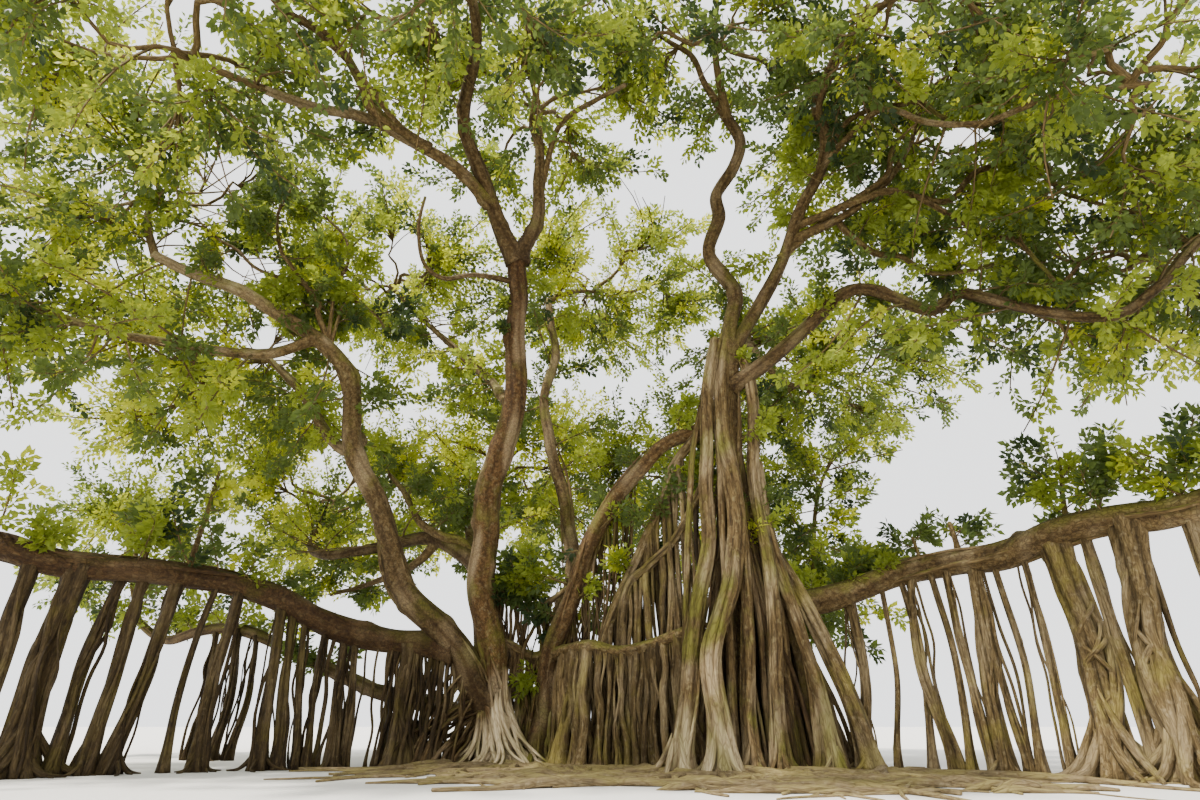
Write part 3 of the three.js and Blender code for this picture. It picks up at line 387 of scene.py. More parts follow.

# Every limb: its radii in metres at both ends, its bends, and the limb and share of its length where it
# leaves another. A shade above 0 paints shade on its bark and one below 0 paints sunlight, at the limb's
# start and end.
limbs = {
    "main_trunk": dict(
        kind="trunk", shade=(0, 0.75), radius=0.43, tip=0.265, flare=0.55, flareHeight=0.8, warm=0.5, bends=[
        (0, 0, -0.25), (-0.26, 0, 1.4), (-0.53, 0, 3.03), (-0.84, -0.2, 5.15), (-0.56, -0.6, 6.78),
        (-0.11, -1.1, 9.06), (-0.08, -1.5, 10.51), (0.03, -2.1, 12.58), (0.01, -2.5, 13.95)]),
    "left_stem": dict(
        kind="trunk", shade=(0.85, -0.3), radius=0.39, tip=0.12, collar=-0.15, warm=0.1, bends=[
        (-0.15, -0.06, 0.9), (-0.89, -0.4, 2.29), (-1.7, -0.8, 3.25), (-2.72, -1.28, 4.2),
        (-3.17, -1.7, 5.68), (-3.74, -2.1, 7.14), (-4.25, -2.6, 8.7), (-4.62, -3, 9.89),
        (-5.95, -3.45, 10.98), (-7.95, -4, 11.96), (-9.47, -4.6, 12.38)]),
    "left_stem_branch": dict(shade=(0.15, 0), start=("left_stem", 0.52), radius=0.19, tip=0.085, bends=[
        (-4.56, -1.8, 7.9), (-5.6, -1.5, 8.95), (-6.66, -1.2, 10.23), (-7.61, -1, 11.12)]),
    "far_left_bough": dict(start=("left_stem", 0.71), radius=0.15, tip=0.08, bends=[
        (-6.5, -3.9, 9.75), (-8.8, -4.9, 9.6), (-11, -5.6, 10)]),
    "fork_left_bough": dict(
        shade=(0.55, 0.25), start=("main_trunk", 0.985), radius=0.265, tip=0.115, bends=[
        (-0.63, -3.2, 14.9), (-1.18, -4.5, 15.83), (-1.05, -6.2, 16.33), (-0.57, -7.6, 16.53),
        (-0.49, -9, 16.46)]),
    "fork_side_bough": dict(
        shade=(0.15, -0.25), start=("fork_left_bough", 0.24), radius=0.2, tip=0.105, bends=[
        (-2.22, -5.2, 15.52), (-3.74, -6.2, 15.6), (-4.6, -6.9, 15.25), (-5.6, -7.8, 14.9)]),
    "fork_right_bough": dict(shade=(0.85, 0), start=("main_trunk", 0.985), radius=0.25, tip=0.145, bends=[
        (0.59, -2.8, 15.23), (0.64, -3.3, 16.3), (0.68, -3.7, 17.15)]),
    "fork_outer_bough": dict(start=("fork_right_bough", 0.6), radius=0.105, tip=0.055, bends=[
        (1.3, -4.2, 17.35), (2.43, -5.5, 17.08), (3.22, -6.4, 16.67)]),
    "thin_side_branch": dict(shade=(0.6, 0.1), start=("main_trunk", 0.94), radius=0.085, tip=0.04, bends=[
        (-1.13, -2.8, 13), (-1.99, -3.2, 12.61), (-2.43, -3.8, 12.7), (-2.51, -4.4, 13.38),
        (-2.3, -4.8, 14.2)]),
    "slender_stem": dict(shade=(0.6, -0.1), radius=0.28, tip=0.12, bends=[
        (0.1, 0.15, 0.6), (1.15, 0.85, 1.25), (1.62, 1.1, 2.7), (1.57, 1.3, 5.48), (1.42, 1.5, 7.75),
        (0.89, 1.5, 9.47), (0.68, 1.5, 10.93), (0.87, 1.7, 13.38), (0.61, 2, 15.26)]),
    "pillar_trunk": dict(kind="trunk", shade=(0.15, 0.5), radius=0.34, tip=0.15, bends=[
        (5.85, -2.3, -0.25), (5.76, -2.35, 3), (5.95, -2.4, 6.5), (6.2, -2.45, 9.2), (6.26, -2.5, 11.2),
        (6.35, -2.6, 12.5), (5.87, -2.8, 13.72), (6.23, -3, 14.91), (6.19, -3.2, 15.71),
        (6.64, -3.6, 16.37), (6.77, -4, 16.99), (6.36, -4.5, 17.53)]),
    "inner_right_bough": dict(
        shade=(0.45, 0.15), start=("pillar_trunk", 0.57), radius=0.205, tip=0.13, bends=[
        (7.42, -3, 12.51), (8.18, -3.8, 14.04), (8.64, -4.9, 14.85), (8.7, -5.9, 15.35), (8.3, -6.7, 15.7),
        (8.56, -7.8, 16.3)]),
    "high_right_bough": dict(
        shade=(0.15, 0), start=("inner_right_bough", 0.42), radius=0.13, tip=0.065, bends=[
        (9.3, -4.3, 13.85), (10.29, -4.9, 14.35), (11.1, -5.5, 15.5)]),
    "front_right_bough": dict(start=("inner_right_bough", 0.66), radius=0.095, tip=0.06, bends=[
        (9.62, -6.8, 15.24), (10.34, -7.6, 14.04), (11.19, -8.4, 13.22), (11.73, -9.4, 12.75)]),
    "long_right_bough": dict(shade=(0.55, 0.5), start=("pillar_trunk", 0.52), radius=0.2, tip=0.095, bends=[
        (7.94, -3.6, 10.49), (9.13, -4.5, 11.33), (10.74, -5.2, 10.29), (11.48, -5.6, 10.56),
        (12.48, -6.2, 9.58), (13.61, -7, 8.97), (14.33, -7.4, 9.38), (15.24, -8, 10.23)]),
    "back_right_bough": dict(start=("pillar_trunk", 0.59), radius=0.16, tip=0.085, bends=[
        (7.2, -1, 11.7), (8.6, 0.8, 11.3), (9.8, 2.2, 11.7)]),
    "left_bough": dict(
        shade=(0.85, 0.85), start=("left_stem", 0.14), radius=0.32, tip=0.225, warm=0.3, bends=[
        (-2.76, -0.62, 2.9), (-4.08, -1, 3.17), (-5.29, -1.8, 3.73), (-6.51, -2.5, 4.12),
        (-7.9, -3.6, 4.15), (-9.28, -4.6, 4.14), (-10.4, -5.3, 4.4), (-12.4, -6.4, 4.25),
        (-14.2, -7.4, 4.9)]),
    "right_bough": dict(shade=(0.2, 0.2), start=("pillar_trunk", 0.2), radius=0.31, tip=0.29, bends=[
        (7.7, -1.6, 3.74), (8.9, -1.8, 4), (10.05, -2.3, 4.4), (11.01, -3, 4.5), (11.79, -3.8, 4.47),
        (12.95, -5.4, 4.78), (14.01, -7, 4.68), (15.2, -8.6, 4.9), (16, -9.6, 5.5)]),
    "back_left_bough": dict(shade=(0.6, 0.5), start=("main_trunk", 0.36), radius=0.23, tip=0.11, bends=[
        (-2.26, 0.8, 5.97), (-4.2, 1.8, 6.05), (-6.5, 3.1, 6), (-7.9, 5, 6.8)]),
    "low_left_bough": dict(shade=(0.45, 0.65), radius=0.25, tip=0.12, bends=[
        (-0.25, 0.15, 1), (-2.42, 1, 1.51), (-4.77, 2, 2.13), (-6.59, 2.6, 2.84), (-9.21, 3.2, 3.73),
        (-11.6, 4, 3.45), (-13.2, 4.7, 4.2)]),
    "back_centre_bough": dict(start=("main_trunk", 0.31), radius=0.2, tip=0.11, bends=[
        (-1.5, 1.6, 6.3), (-1.9, 3.6, 7.4), (-1.8, 5.6, 8.6)]),
    "back_fork_bough": dict(start=("main_trunk", 0.68), radius=0.165, tip=0.085, bends=[
        (-1.2, 0.3, 11.2), (-2.8, 1.6, 13.2), (-4.2, 2.5, 14.8)]),
    "back_low_bough": dict(start=("pillar_trunk", 0.15), radius=0.22, tip=0.11, bends=[
        (7.3, -0.5, 2.9), (9, 1.5, 3.7), (8.9, 4, 5.6), (7.4, 6, 7.4)]),
    "diagonal_bough": dict(shade=(0.6, 0.05), radius=0.26, tip=0.19, flare=0.8, warm=0.35, bends=[
        (0.85, -0.1, -0.25), (1.13, -0.2, 2.01), (1.5, -0.5, 3.23), (2.08, -0.8, 4.75), (2.54, -1, 5.95),
        (3.32, -1.3, 7.15), (4.23, -1.7, 8.02), (5.59, -2.3, 8.35)]),
    "slanting_roots": dict(kind="root", radius=0.125, tip=0.15, bends=[
        (5.3, -2.4, 8.15), (4.6, -1.9, 7.4), (4.2, -1.7, 6.4), (3.54, -1.4, 4.96), (2.7, -1.25, 2.95),
        (2.35, -1.2, -0.25)]),
    "slant_low": dict(kind="root", shade=(0.1, 0.5), radius=0.12, tip=0.13, bends=[
        (5.3, -2.5, 6.6), (4.43, -2, 5.28), (3.73, -1.8, 4.6), (3.15, -1.65, 3.7), (2.9, -1.6, -0.25)]),
    "curtain_bough": dict(start=("diagonal_bough", 0.27), radius=0.15, tip=0.11, bends=[
        (2.27, -1.75, 2.73), (2.95, -2.05, 2.56), (3.48, -2.25, 2.61), (4.14, -2.6, 2.81),
        (4.98, -3, 3.08)]),
    "big_diagonal_root": dict(kind="root", radius=0.15, tip=0.19, flare=0.8, bends=[
        (6.45, -2.45, 5.9), (7, -2.25, 4.9), (7.5, -2.35, 3.7), (7.96, -2.5, 2.43), (8.25, -2.9, 1.2),
        (8.38, -3.1, -0.25)]),
    "tangle_root": dict(kind="root", radius=0.1, tip=0.085, bends=[
        (-0.72, -0.1, 4.85), (-0.2, 0.25, 4.3), (0.5, 0.4, 3.95), (1.2, 0.1, 4.1), (1.95, -0.7, 4.5)]),
}
for limb in limbs.values():
    if "start" in limb:
        parent, share = limb["start"]
        limb["bends"] = [tuple(pointAlong(limbs[parent], share))] + limb["bends"]


# A limb's radius at shares of its length: it tapers evenly and flares towards the ground.
def plainRadius(limb, shares, points):
    nearGround = np.exp(-np.maximum(points[:, 2], 0) / limb.get("flareHeight", 0.45))
    plain = limb["radius"] + (limb["tip"] - limb["radius"]) * shares
    return plain * (1 + limb.get("flare", 0) * nearGround), nearGround


# A limb with its bark's relief. Ribs are a cosine's size; slow lumps are sines of the turn and the run; knots
# are soft bumps. The route sways by sines that fade out at both ends.
def barkTube(limb, seed, extraRibs=0.0):
    kind = kinds[limb.get("kind", "bough")]
    radius = limb["radius"]
    route = aboveGround(smoothRoute(limb["bends"], 24))
    length = lengthsAlong(route)[-1]
    rings = max(10, int(length / kind["step"]))
    share = np.linspace(0, 1, rings)
    points = evenPoints(route, share)
    run = share * length
    fromGround, toGround = points[0, 2] < 0.05, points[-1, 2] < 0.05
    fade = np.clip(run / 1.2, 0, 1) * np.clip((length - run) / 1.2, 0, 1)
    for k in range(3):
        wave = np.sin(run[:, None] * [0.9 + 0.8 * k, 1.1 + 0.7 * k] + anyTurn(seed, [10 + k, 20 + k]))
        points[:, :2] += (fade * kind["sway"] * radius / (1 + 0.8 * k))[:, None] * wave
    plain, nearGround = plainRadius(limb, share, points)
    if not fromGround:
        plain = plain * (1 + limb.get("collar", kind["collar"]) * np.exp(-run / (1.6 * radius)))

    sides = int(np.clip(2 * np.pi * radius / kind["grid"], 12, 60))
    turn = ringTurns(sides)
    wander = 0.9 * np.sin(run * 0.8 + anyTurn(seed, 1)) + 0.5 * np.sin(run * 2.1 + anyTurn(seed, 2))
    twist = kind["twist"] * run
    ridge = ribWave(kind["ribs"] * turn + (twist * 3 + wander)[:, None] + anyTurn(seed, 3))
    fineRidge = ribWave(kind["fineRibs"] * turn + (1.5 * wander + twist * 5)[:, None])
    depth = kind["ribDepth"] * (1 + (1.6 + extraRibs) * nearGround * ("flare" in limb))[:, None]
    relief = 2 * depth * ridge + 2 * kind["fineDepth"] * fineRidge
    for k in range(4):
        waves = np.sin((k + 1) * turn + (0.7 + 0.9 * k) * run[:, None] + anyTurn(seed, 30 + k))
        relief = relief + kind["lumps"] / (1 + 0.5 * k) * waves * np.sin((1.3 - 0.2 * k) * run + k)[:, None]
    knots = np.arange(kind["knots"])
    knotRun = length * (0.04 + 0.92 * chance(seed + 1, knots))
    knotHigh = kind["knotSize"] * (0.3 + 0.9 * chance(seed + 3, knots))
    apart = np.abs((turn[None, :, None] - anyTurn(seed + 2, knots) + np.pi) % (2 * np.pi) - np.pi)
    bump = np.exp(-(((run[:, None, None] - knotRun) / (0.55 * radius)) ** 2) - (apart / 0.5) ** 2)
    full = plain[:, None] * (1 + relief + (bump * knotHigh).sum(-1))

    along, side, across = framesAlong(points)
    poles = np.stack([points[0], points[-1] + along[-1] * (0.0 if toGround else 0.5 * limb["tip"])])
    runs = np.broadcast_to(run[:, None] * kind["stretch"], full.shape)
    grain = np.stack([full * np.cos(turn) + 40 * chance(seed, 5), full * np.sin(turn), runs], -1)
    grid = points[:, None] + full[..., None] * turned(turn, side[:, None], across[:, None])
    shape = tubeShape(1, rings, sides, grid, poles, grain, np.stack([grain[0].mean(0), grain[-1].mean(0)]))
    # Painted shade darkens the grooves between the ribs and, by the limb's shade, the whole limb; a shade
    # below 0 paints sunlight.
    first, last = limb.get("shade", (0, 0))
    shade = (first + (last - first) * share)[:, None]
    paintedShade = np.clip(0.62 - (ridge * 1.4 + 0.6), 0, 1) + 0.35 * np.clip(-0.25 - fineRidge, 0, 1)
    tint = np.zeros((*full.shape, 3))
    tint[..., 0] = np.maximum(-shade, 0)
    tint[..., 1] = limb.get("warm", 0.12)
    tint[..., 2] = np.clip(kind["grooveShade"] * np.clip(paintedShade, 0, 1) + np.maximum(shade, 0), 0, 1)
    shape["tint"] = np.vstack([tint.reshape(-1, 3), tint[0].mean(0), tint[-1].mean(0)])
    return shape


# Thin roots from tops to feet: straight, swaying by sines that fade out at the ends, wider at the ground.
def strands(tops, feet, radii, seed, sway=0.06, lean=0.0, dark=0.0):
    points, sides = 24, 6
    t = np.linspace(0, 1, points)[None, :, None]
    shift = t + lean * t * (1 - t)
    routes = tops[:, None] * (1 - shift) + feet[:, None] * shift
    routes[..., 2] = tops[:, None, 2] * (1 - t[..., 0]) + feet[:, None, 2] * t[..., 0]
    k = np.arange(len(tops))
    fade = np.sin(np.pi * t) ** 0.5
    for j in range(3):
        phase = anyTurn(seed + j, k[:, None] + [0, 500])[:, None]
        speed = (2.2 + 2.6 * j) * (0.7 + 0.6 * chance(seed, k + 900))[:, None, None]
        routes[..., :2] += (sway / (1 + j) ** 1.7) * fade * np.sin(speed * t * 3 + phase)
    width = radii[:, None] * (1 + 0.9 * np.exp(-np.maximum(routes[..., 2], 0) / 0.28))
    width = width * (0.9 + 0.2 * chance(seed, k[:, None] * 7 + np.arange(points) // 4))
    shape = tinted(tubeBatch(routes, width, sides, seed, ribs=3, ribDepth=0.12, twist=2.5), warm=0.15)
    # Each strand is darker by a tone of its own, at random, and by the painted shade that dark gives.
    shade = np.repeat(0.5 * chance(seed + 8, k) ** 2 + dark, points * sides)
    shape["tint"][: len(shade), 2] = np.minimum(shade, 1)
    return shape


# The toes of roots: ridges that come out of each foot, thin at first, and run out low over the ground.
def toes(feet, radii, seed, perFoot, reach=2.8, high=(1.7, 2.9), thick=0.36, dark=0.12):
    k = np.arange(len(feet) * perFoot)
    feet, radii = np.repeat(feet, perFoot, axis=0), np.repeat(radii, perFoot)[:, None]
    turn = ((k % perFoot) * 2 * np.pi / perFoot + 1.4 * chance(seed, k))[:, None]
    far = radii * reach * (0.6 + 0.8 * chance(seed, k + 50))[:, None]
    t = np.linspace(0, 1, 12)[None]
    away = radii * 0.45 + far * t
    swing = 0.25 * far * np.sin(3 * t + anyTurn(seed, k + 90)[:, None]) * t
    x = feet[:, :1] + np.cos(turn) * away - np.sin(turn) * swing
    y = feet[:, 1:] + np.sin(turn) * away + np.cos(turn) * swing
    z = radii * (within(high, seed, k + 70)[:, None] * (1 - t) ** 3 + 0.06)
    width = radii * thick * (1 - 0.72 * t) * np.minimum(1, 0.12 + 4 * t)
    return tinted(tubeBatch(np.stack([x, y, z], -1), width, 6, seed + 5, ribs=2, ribDepth=0.1), dark=dark)


# Roots that have grown round a limb: each keeps to the limb's skin and turns slowly round it on its way. Away
# from the ground its ends thin out and sink in, each at a share of its own.
def clinging(limb, count, ends, size, seed, turns=0.5, points=40):
    shares = np.linspace(*ends, points)
    centre = evenPoints(aboveGround(smoothRoute(limb["bends"], 24)), shares)
    along, side, across = framesAlong(centre)
    plain, _ = plainRadius(limb, shares, centre)
    k = np.arange(count)[:, None]
    t = np.linspace(0, 1, points)[None]
    turn = k * 2 * np.pi / count + 1.3 * chance(seed, k) + turns * fullTurn * (chance(seed, k + 40) - 0.5) * t
    turn = turn + 0.22 * np.sin(9 * t * (0.6 + chance(seed, k + 60)) + anyTurn(seed, k + 80))
    first, last = (0 if centre[end, 2] < 0.3 else 1 for end in (0, -1))
    fade = np.clip((t - first * 0.35 * chance(seed, k + 7)) * 6 + 1 - first, 0.04, 1)
    fade = fade * np.clip((1 - last * 0.45 * chance(seed, k + 8) - t) * 6 + 1 - last, 0.04, 1)
    width = size * (0.6 + 0.7 * chance(seed, k + 20)) * (0.85 + 0.3 * t) * fade**0.6
    routes = centre + turned(turn, side, across) * (plain * (0.7 + 0.26 * fade))[..., None]
    shape = tubeBatch(routes, width, 6, seed + 9, ribs=2, ribDepth=0.08)
    # The clinging roots take the painted shade of their limb, in the mean.
    return tinted(shape, warm=limb.get("warm", 0.12), dark=max(0, np.mean(limb.get("shade", 0))))


print("making the trunks and boughs")
wood = {}
for k, (name, limb) in enumerate(limbs.items()):
    wood[name] = [barkTube(limb, 200 + 11 * k, 1.4 if name == "main_trunk" else 0.0)]
for merged, name in [("slant_low", "slanting_roots"), ("tangle_root", "slender_stem")]:
    wood[name] += wood.pop(merged)

# The ribbed foot of the main trunk, and the roots that cling to trunks, stems and boughs: how many, between
# which shares of the limb's length, their size, seed, turns and points.
for name, *how in [
    ("main_trunk", 16, (0, 0.3), 0.075, 401, 0.25), ("main_trunk", 4, (0.0, 0.42), 0.045, 402, 0.8),
    ("left_stem", 5, (0, 0.4), 0.06, 403, 0.6), ("diagonal_bough", 5, (0, 0.9), 0.05, 404, 0.8),
    ("right_bough", 7, (0.05, 0.97), 0.055, 408, 1.6, 90), ("slender_stem", 3, (0.15, 0.8), 0.035, 405, 0.8),
    ("left_bough", 6, (0.03, 0.97), 0.05, 409, 1.6, 90), ("pillar_trunk", 10, (0, 0.6), 0.06, 406, 0.5),
    ("big_diagonal_root", 4, (0, 1), 0.05, 407, 0.8),
]:
    wood[name].append(clinging(limbs[name], *how))

# The pillar trunk's own columns, from the foot up: a radius and bends, in metres.
columns = [
    (0.19, [
        (4.12, -3.88, -0.25), (4.24, -3.78, 0.4), (4.48, -3.55, 1.39), (4.62, -3.3, 2.5),
        (4.86, -3.1, 3.71), (5.18, -2.9, 5.26), (5.36, -2.8, 7.21), (5.51, -2.7, 9.37),
        (5.86, -2.6, 10.9)]),
    (0.235, [
        (4.98, -4.2, -0.25), (5, -4.12, 0.4), (5.01, -4, 1), (5.01, -3.7, 2.26), (5.34, -3.45, 3.22),
        (5.73, -3.2, 4.14), (5.9, -3.05, 5.23), (5.83, -2.9, 6.52), (5.82, -2.8, 8.17), (5.98, -2.65, 9.9),
        (6.2, -2.55, 11.1)]),
    (0.175, [
        (6.32, -3.45, -0.25), (6.35, -3.37, 0.4), (6.42, -3.2, 1.4), (6.56, -3.05, 2.95),
        (6.62, -2.9, 4.31), (6.58, -2.75, 5.8), (6.62, -2.7, 7.66), (6.67, -2.6, 9.42),
        (6.45, -2.55, 11)]),
    (0.15, [
        (5.68, -3.8, -0.25), (5.73, -3.66, 0.4), (5.76, -3.4, 1.29), (5.91, -3.2, 2.93), (6.03, -3, 4.29),
        (6.1, -2.85, 5.28), (6, -2.75, 6.8)]),
    (0.085, [
        (4.1, -3.3, -0.25), (4.17, -3.25, 0.44), (4.43, -3.15, 1.9), (4.55, -3, 3.5), (4.75, -2.8, 5.29),
        (4.98, -2.7, 7.25), (5.4, -2.6, 9.3)]),
    (0.13, [
        (7.3, -3.3, -0.25), (7.3, -3.2, 0.4), (7.33, -3, 1.7), (7.23, -2.85, 2.97), (7.1, -2.7, 3.77),
        (6.85, -2.6, 5.34), (6.7, -2.6, 7.2)]),
    (0.14, [
        (7.45, -3.7, -0.25), (7.44, -3.6, 0.4), (7.36, -3.15, 1.8), (7.12, -2.8, 3.4), (6.75, -2.6, 5.2),
        (6.6, -2.5, 6.6)]),
    (0.1, [
        (5.38, -3.5, -0.25), (5.4, -3.42, 0.4), (5.5, -3.1, 2.4), (5.58, -2.95, 4.6), (5.62, -2.8, 7),
        (5.7, -2.6, 9)]),
    (0.11, [
        (6.95, -2.9, -0.25), (6.93, -2.85, 0.4), (6.86, -2.7, 2.6), (6.78, -2.55, 4.8), (6.68, -2.5, 7.4)]),
]
for k, (radius, bends) in enumerate(columns):
    pillar = dict(kind="root", radius=radius, tip=radius * 0.85, flare=0.9, flareHeight=0.4, bends=bends)
    wood["pillar_trunk"].append(barkTube(pillar, 450 + 7 * k))
    if radius > 0.12:
        wood["pillar_trunk"].append(clinging(pillar, 2, (0, 0.9), radius * 0.24, 460 + k, 1.4))
# Thin roots that hang from the pillar trunk round its feet, darkened by painted shade.
k = np.arange(76)
turn = k * goldenAngle
tops = pointsAlong(limbs["pillar_trunk"], 0.27 + 0.2 * chance(11, k))
tops[:, :2] += 0.2 * np.stack([np.cos(turn), np.abs(np.sin(turn))], -1)
out = 1.3 * np.sqrt(0.2 + 0.8 * chance(12, k))
frontShare = np.where(np.sin(turn) < 0, 0.45, 1)
feet = feetAt(5.95 + 1.2 * out * np.cos(turn), -2.85 + 0.9 * out * np.sin(turn) * frontShare)
wood["pillar_trunk"].append(strands(tops, feet, 0.03 + 0.045 * chance(13, k), 14, sway=0.09, dark=0.6))
footSpots = [bends[0][:2] for radius, bends in columns] + [(5.85, -2.5)]
footRadii = [radius for radius, bends in columns] + [0.3]
wood["pillar_trunk"].append(toes(footSpots, footRadii, 15, 7, 3.6, (2.2, 4.4), 0.42))
wood["main_trunk"].append(toes([(0.05, -0.05)], [0.55], 16, 20, 2.6, (0.5, 1.2), 0.26))
wood["diagonal_bough"].append(toes([(0.9, -0.12)], [0.3], 17, 8, 2.8, (1.0, 2.0)))
wood["slanting_roots"].append(toes([(2.35, -1.2), (2.9, -1.6)], [0.2, 0.18], 23, 6))
wood["big_diagonal_root"].append(toes([(8.38, -3.1)], [0.22], 45, 6))

# The fluted apron before the main trunk: ribs that leave it 0.6 to 2 m up and run out on the ground.
apron = dict(count=40, points=16, reach=(0.5, 1.35), high=(0.6, 2.0), girth=(0.045, 0.085))
k = np.arange(apron["count"])[:, None]
t = np.linspace(0, 1, apron["points"])[None]
turn = -math.pi * 1.12 + math.pi * 1.24 * (k + 0.6 * chance(171, k)) / apron["count"]
turn = turn + 0.16 * np.sin(5 * t + anyTurn(174, k)) * t
high = within(apron["high"], 172, k)
away = 0.36 + 0.2 * np.exp(-high) + within(apron["reach"], 173, k) * (t**1.8 * 0.75 + 0.25 * t)
height = high * (1 - t) ** 1.25
axis = 0.02 - 0.186 * np.clip(height, 0, 1.4)
routes = np.stack([axis + away * np.cos(turn), -0.02 + away * np.sin(turn), height + 0.03], -1)
girth = within(apron["girth"], 175, k) * (1 - 0.55 * t) * np.minimum(1, 0.3 + 3 * t)
wood["main_trunk"].append(tinted(tubeBatch(routes, girth, 7, 176, ribs=2, ribDepth=0.1)))

# The slanting roots and what hangs from them, the curtain under its bough, and the fan to the right.
# Painted shade darkens their strands, those further back the most.
print("making the hanging roots")
for limb, count, seed, low, high in [
    (limbs["slanting_roots"], 44, 21, 0.08, 0.86), (limbs["slant_low"], 24, 22, 0.05, 0.8),
]:
    k = np.arange(count)
    tops = pointsAlong(limb, steppedShares(low, high - low, count, seed, 0.6))
    back = chance(seed, k + 80)
    feet = feetAt(tops[:, 0] + 0.3 * (chance(seed, k + 40) - 0.5), tops[:, 1] - 0.7 + 1.2 * back)
    width = 0.03 + 0.045 * chance(seed, k + 60) + 0.05 * (chance(seed, k + 120) > 0.85)
    wood["slanting_roots"].append(strands(tops, feet, width, seed, dark=0.6 * back))
k = np.arange(96)
spot = steppedShares(0.1, 0.84, len(k), 31, 0.7)
tops = pointsAlong(limbs["curtain_bough"], spot)
back = chance(33, k)
feet = feetAt(tops[:, 0] + 0.5 * (spot - 0.5) + 0.25 * (chance(32, k) - 0.5), tops[:, 1] - 0.4 + 1.2 * back)
width = 0.03 + 0.05 * chance(34, k) ** 1.5 + 0.06 * (chance(36, k) > 0.85)
wood["root_curtain"] = [strands(tops, feet, width, 35, dark=0.7 * back)]
k = np.arange(40)
spot = steppedShares(0, 1, len(k), 41)[:, None]
tops = np.array([6.45, -2.25, 5.9]) * (1 - spot) + np.array([6.9, -2.05, 4.4]) * spot
feet = np.array([6.75, -2.35, -footDepth]) * (1 - spot) + np.array([8.3, -2.6, -footDepth]) * spot
feet[:, 1] += 0.9 * (chance(42, k) - 0.35)
width = 0.03 + 0.06 * chance(43, k) ** 1.5
wood["fan_roots"] = [strands(tops, feet, width, 44, sway=0.08, lean=0.35, dark=0.35)]

# The thicket of thin roots between the main trunk and the curtain: behind the leaning bough, and down from
# the crotches of trunk and slender stem. Each row: the piece they are part of, the limb they hang from, how
# many, their shares, the seeds of shares, x, y, radius and sway, where their feet lie from their tops, their
# radii, sway and painted shade.
bridge = dict(kind="root", radius=0.13, tip=0.11, bends=[
    tuple(pointAlong(limbs["main_trunk"], 0.235)), (0.0, 0.25, 2.95), (0.65, 0.3, 2.65), (1.1, 0.1, 2.75),
    tuple(pointAlong(limbs["diagonal_bough"], 0.31))])
wood["slender_stem"].append(barkTube(bridge, 193))
for name, limb, count, shares, seeds, (wide, across), (near, deep), (thin, more), sway, dark in [
    ("diagonal_bough", limbs["diagonal_bough"], 70, (0.16, 0.62), (181, 183, 184, 185, 186), (0.5, -0.15),
     (0.1, 1.1), (0.016, 0.028), 0.13, 0.45),
    ("slender_stem", bridge, 60, (0.12, 0.8), (187, 188, 189, 191, 192), (0.35, 0), (-0.45, 0.75),
     (0.022, 0.04), 0.07, 0.2),
    ("slender_stem", limbs["tangle_root"], 64, (0.06, 0.88), (201, 202, 203, 204, 205), (0.9, 0.1),
     (-0.5, 1.3), (0.016, 0.032), 0.16, 0.5),
]:
    k = np.arange(count)
    tops = pointsAlong(limb, steppedShares(*shares, count, seeds[0]))
    if name == "diagonal_bough":
        tops[:, 1] += 0.1 + 0.25 * chance(182, k)
    x = tops[:, 0] + wide * (chance(seeds[1], k) - 0.5) + across
    feet = feetAt(x, tops[:, 1] + near + deep * chance(seeds[2], k))
    radii = thin + more * chance(seeds[3], k) ** 1.5
    wood[name].append(strands(tops, feet, radii, seeds[4], sway=sway, dark=dark))
k = np.arange(40)  # behind the pillars, down to a line of feet
tops = pointsAlong(limbs["pillar_trunk"], 0.15 + 0.2 * chance(206, k))
tops[:, 1] += 0.15
feet = feetAt(5.0 + 3.1 * (k + chance(207, k)) / len(k), -1.9 + 0.6 * chance(208, k))
# Painted shade darkens these strands behind the pillars.
wood["pillar_trunk"].append(strands(tops, feet, 0.035 + 0.05 * chance(209, k), 210, sway=0.1, dark=0.7))

